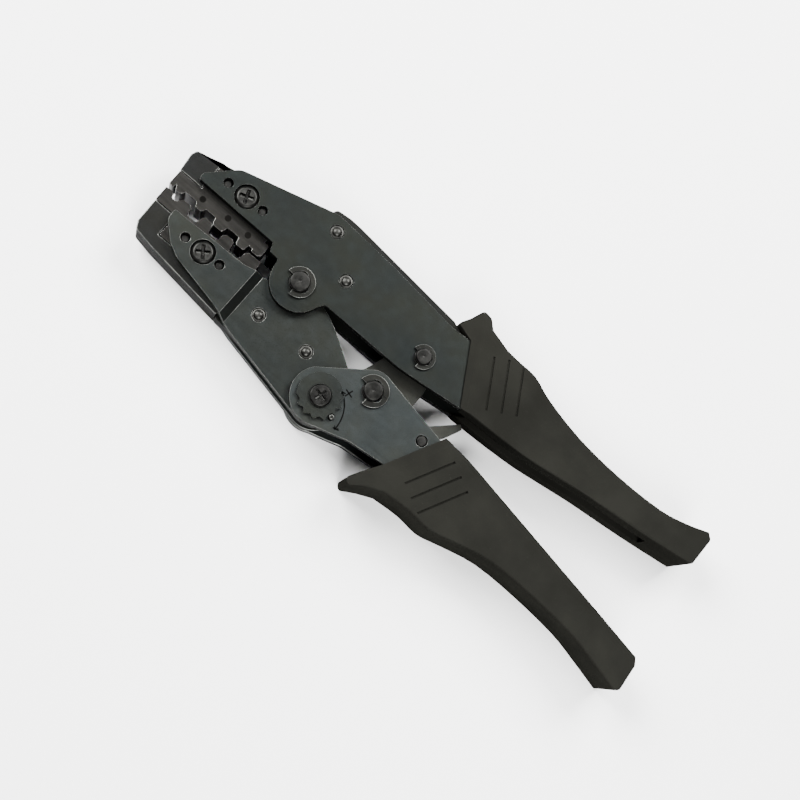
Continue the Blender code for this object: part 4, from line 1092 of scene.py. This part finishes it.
@dataclass
class Spring:
    """A torsion spring: a helix round a pin with a straight leg at each end."""

    node: str
    joint: str
    radius: float
    wire: float
    start: float
    turns: int = 3
    leg: float = 4.0
    leg_start: float = 0.4
    leg_points: int = 8
    points: int = 36

    def build(self, group: SubAssembly) -> None:
        """Build the spring.

        The helix turns evenly from the bottom to the top of the node's box while it climbs,
        and each leg leaves it along the tangent.

        Args:
            group: the sub-assembly that holds it.
        """
        low, high = node_box(self.node)
        centre = (joint_place(self.joint) - ORIGIN) / MM
        share = np.linspace(0.0, 1.0, self.turns * self.points + 1)
        angle = np.radians(self.start + 360.0 * self.turns * share)
        rise = high[2] - low[2] - 2.0 * self.wire
        helix = np.stack([centre[0] + self.radius * np.cos(angle),
                          centre[1] + self.radius * np.sin(angle),
                          low[2] + self.wire + rise * share], axis=1)
        away = np.linspace(self.leg, self.leg_start, self.leg_points)[:, None]
        tangent = np.stack([-np.sin(angle), np.cos(angle), np.zeros_like(angle)], axis=1)
        head = helix[0] - away * tangent[0]
        tail = helix[-1] + away[::-1] * tangent[-1]
        path = np.vstack([head, helix, tail])
        surface = wire_surface(path, self.wire)
        group.keep(piece_from(f"{self.node}_finished", *surface, SPRING_WIRE), Slot.SPRING,
                   self.node)


def add_pin(group: SubAssembly, node: str, radius: float) -> None:
    """Build a pivot pin in place of its node.

    Args:
        group: the sub-assembly, which has hardware sizes.
        node: the pin's node.
        radius: the shaft's radius.
    """
    low, high = node_box(node)
    head = 0.5 * (high[0] - low[0])
    group.turned(node, group.hardware.pin_profile(radius, high[2], low[2], head), node_axis(node))


def add_plain_pin(group: SubAssembly, node: str) -> None:
    """Build a straight pin with broken edges.

    Args:
        group: the sub-assembly.
        node: the pin's node.
    """
    low, high = node_box(node)
    radius = 0.5 * (high[0] - low[0])
    cut = PLAIN_PIN_CHAMFER
    corners = [(0.0, high[2]), (radius - cut, high[2]), (radius, high[2] - cut),
               (radius, low[2] + cut), (radius - cut, low[2]), (0.0, low[2])]
    group.turned(node, soften(corners, PLAIN_PIN_SOFTNESS), node_axis(node))


def add_rivets(group: SubAssembly, stem: str, dome: float = 0.8) -> None:
    """Build a sub-assembly's two rivets.

    Args:
        group: the sub-assembly, which has hardware sizes.
        stem: the rivets' common name.
        dome: the crown's height.
    """
    for number in (1, 2):
        node = f"{stem}_{number}"
        low, high = node_box(node)
        radius = 0.5 * (high[0] - low[0])
        profile = group.hardware.rivet_profile(radius, high[2], low[2], dome)
        group.turned(node, profile, node_axis(node), colour=RIVET_COLOUR)


def add_dowels(group: SubAssembly, stem: str) -> None:
    """Build a die's two dowels.

    Args:
        group: the sub-assembly.
        stem: the dowels' common name.
    """
    for number in (1, 2):
        add_plain_pin(group, f"{stem}_{number}")


def add_die_screw(group: SubAssembly, node: str, turn: float) -> None:
    """Build a die screw, a cheese head on a shaft, with its cross recess.

    Args:
        group: the sub-assembly, which has hardware sizes.
        node: the screw's node.
        turn: turn of the cross, in degrees.
    """
    sizes = group.hardware
    low, high = node_box(node)
    place = node_axis(node)
    head = 0.5 * (high[0] - low[0])
    top = high[2]
    under = top - sizes.die_screw_head
    corners = [(0.0, top), (head * 0.5, top - 0.03), (head - 0.85, top - 0.12), (head, top - 0.9),
               (head, under), (sizes.die_screw_shaft, under),
               (sizes.die_screw_shaft, low[2]), (0.0, low[2])]
    profile = soften(corners, sizes.die_screw_softness)
    surface = sizes.screw_surface(place, profile, *sizes.die_recess, turn)
    finish = Turned(f"turned_{node}", DIE_SCREW_COLOUR, tuple(world((*place, 0.0))))
    group.keep(piece_from(f"{node}_finished", *surface, finish), Slot.PIN, node)


# --------------------------------------------------------------------------- studio


@dataclass
class Studio:
    """A pale floor, soft lights and the camera."""

    floor_half: float = 1.6
    floor_steps: int = 24
    camera_place: tuple = (24.6, -133.7, 493.0)
    camera_right: tuple = (0.7600, 0.6190, 0.2025)
    camera_up: tuple = (-0.6490, 0.7456, 0.1568)
    camera_back: tuple = (-0.0540, -0.2506, 0.9667)
    focal: float = 66.6
    sensor: float = 36.0
    sky: float = 0.2
    lights: tuple = (
        ("key", (-520.0, 120.0, 640.0), 460.0, 27.0),
        ("fill", (430.0, -430.0, 620.0), 460.0, 16.0),
        ("back", (140.0, 560.0, 640.0), 460.0, 24.0),
    )

    def build(self) -> None:
        """Build the floor, the lights and the camera."""
        self.build_floor()
        for name, place, size, power in self.lights:
            self.add_light(name, place, size, power)
        self.build_world()
        self.build_camera()

    def build_floor(self) -> None:
        """A level grid of places at height zero."""
        side = np.linspace(-self.floor_half, self.floor_half, self.floor_steps)
        x, y = np.meshgrid(side, side, indexing="ij")
        vertices = np.stack([x, y, np.zeros_like(x)], axis=-1).reshape(-1, 3)
        row, column = np.meshgrid(*(np.arange(self.floor_steps - 1),) * 2, indexing="ij")
        corner = row * self.floor_steps + column
        faces = np.stack([corner, corner + self.floor_steps, corner + self.floor_steps + 1,
                          corner + 1], axis=-1).reshape(-1, 4)
        mesh = bpy.data.meshes.new("floor")
        mesh.from_pydata(vertices.tolist(), [], faces.tolist())
        mesh.materials.append(dressed(Paper("floor_paper", FLOOR_COLOUR)))
        floor = bpy.data.objects.new("floor", mesh)
        bpy.context.scene.collection.objects.link(floor)

    def add_light(self, name: str, place: tuple, size: float, power: float) -> None:
        """A square soft light aimed at the middle of the plier.

        Args:
            name: the light's name.
            place: where it stands, in millimetres from the main pivot.
            size: its side, in millimetres.
            power: its power, in watts.
        """
        light = bpy.data.lights.new(name, "AREA")
        light.energy = power
        light.size = size * MM
        lamp = bpy.data.objects.new(name, light)
        spot = Vector(world(place))
        aim = Vector(world(LIGHT_AIM))
        lamp.location = spot
        lamp.rotation_euler = (aim - spot).to_track_quat("-Z", "Y").to_euler()
        bpy.context.scene.collection.objects.link(lamp)

    def build_world(self) -> None:
        """An even pale surround."""
        surround = bpy.data.worlds.new("surround")
        surround.use_nodes = True
        sky = surround.node_tree.nodes["Background"]
        sky.inputs["Color"].default_value = (*SKY_COLOUR, 1.0)
        sky.inputs["Strength"].default_value = self.sky
        bpy.context.scene.world = surround

    def build_camera(self) -> None:
        """The camera, placed by its own axes."""
        data = bpy.data.cameras.new("camera")
        data.lens = self.focal
        data.sensor_width = self.sensor
        camera = bpy.data.objects.new("camera", data)
        spot = world(self.camera_place)
        columns = (self.camera_right, self.camera_up, self.camera_back, spot)
        camera.matrix_world = Matrix([[columns[c][r] for c in range(4)] for r in range(3)]
                                     + [[0.0, 0.0, 0.0, 1.0]])
        bpy.context.scene.collection.objects.link(camera)
        bpy.context.scene.camera = camera


def report(group: SubAssembly) -> None:
    """Log each piece of a sub-assembly."""
    for piece in group.pieces:
        LOG.info("%s: %s", group.body.value, piece.name)


def main() -> None:
    """Build the looks in order and report each piece."""
    logging.basicConfig(level=logging.INFO, format="%(message)s")
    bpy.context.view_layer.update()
    for group in (FixedHandle(), MovingJaw(), MovingHandle()):
        group.build()
        report(group)
    for group in Linkage().build():
        report(group)
    Studio().build()


if __name__ == "__main__":
    main()
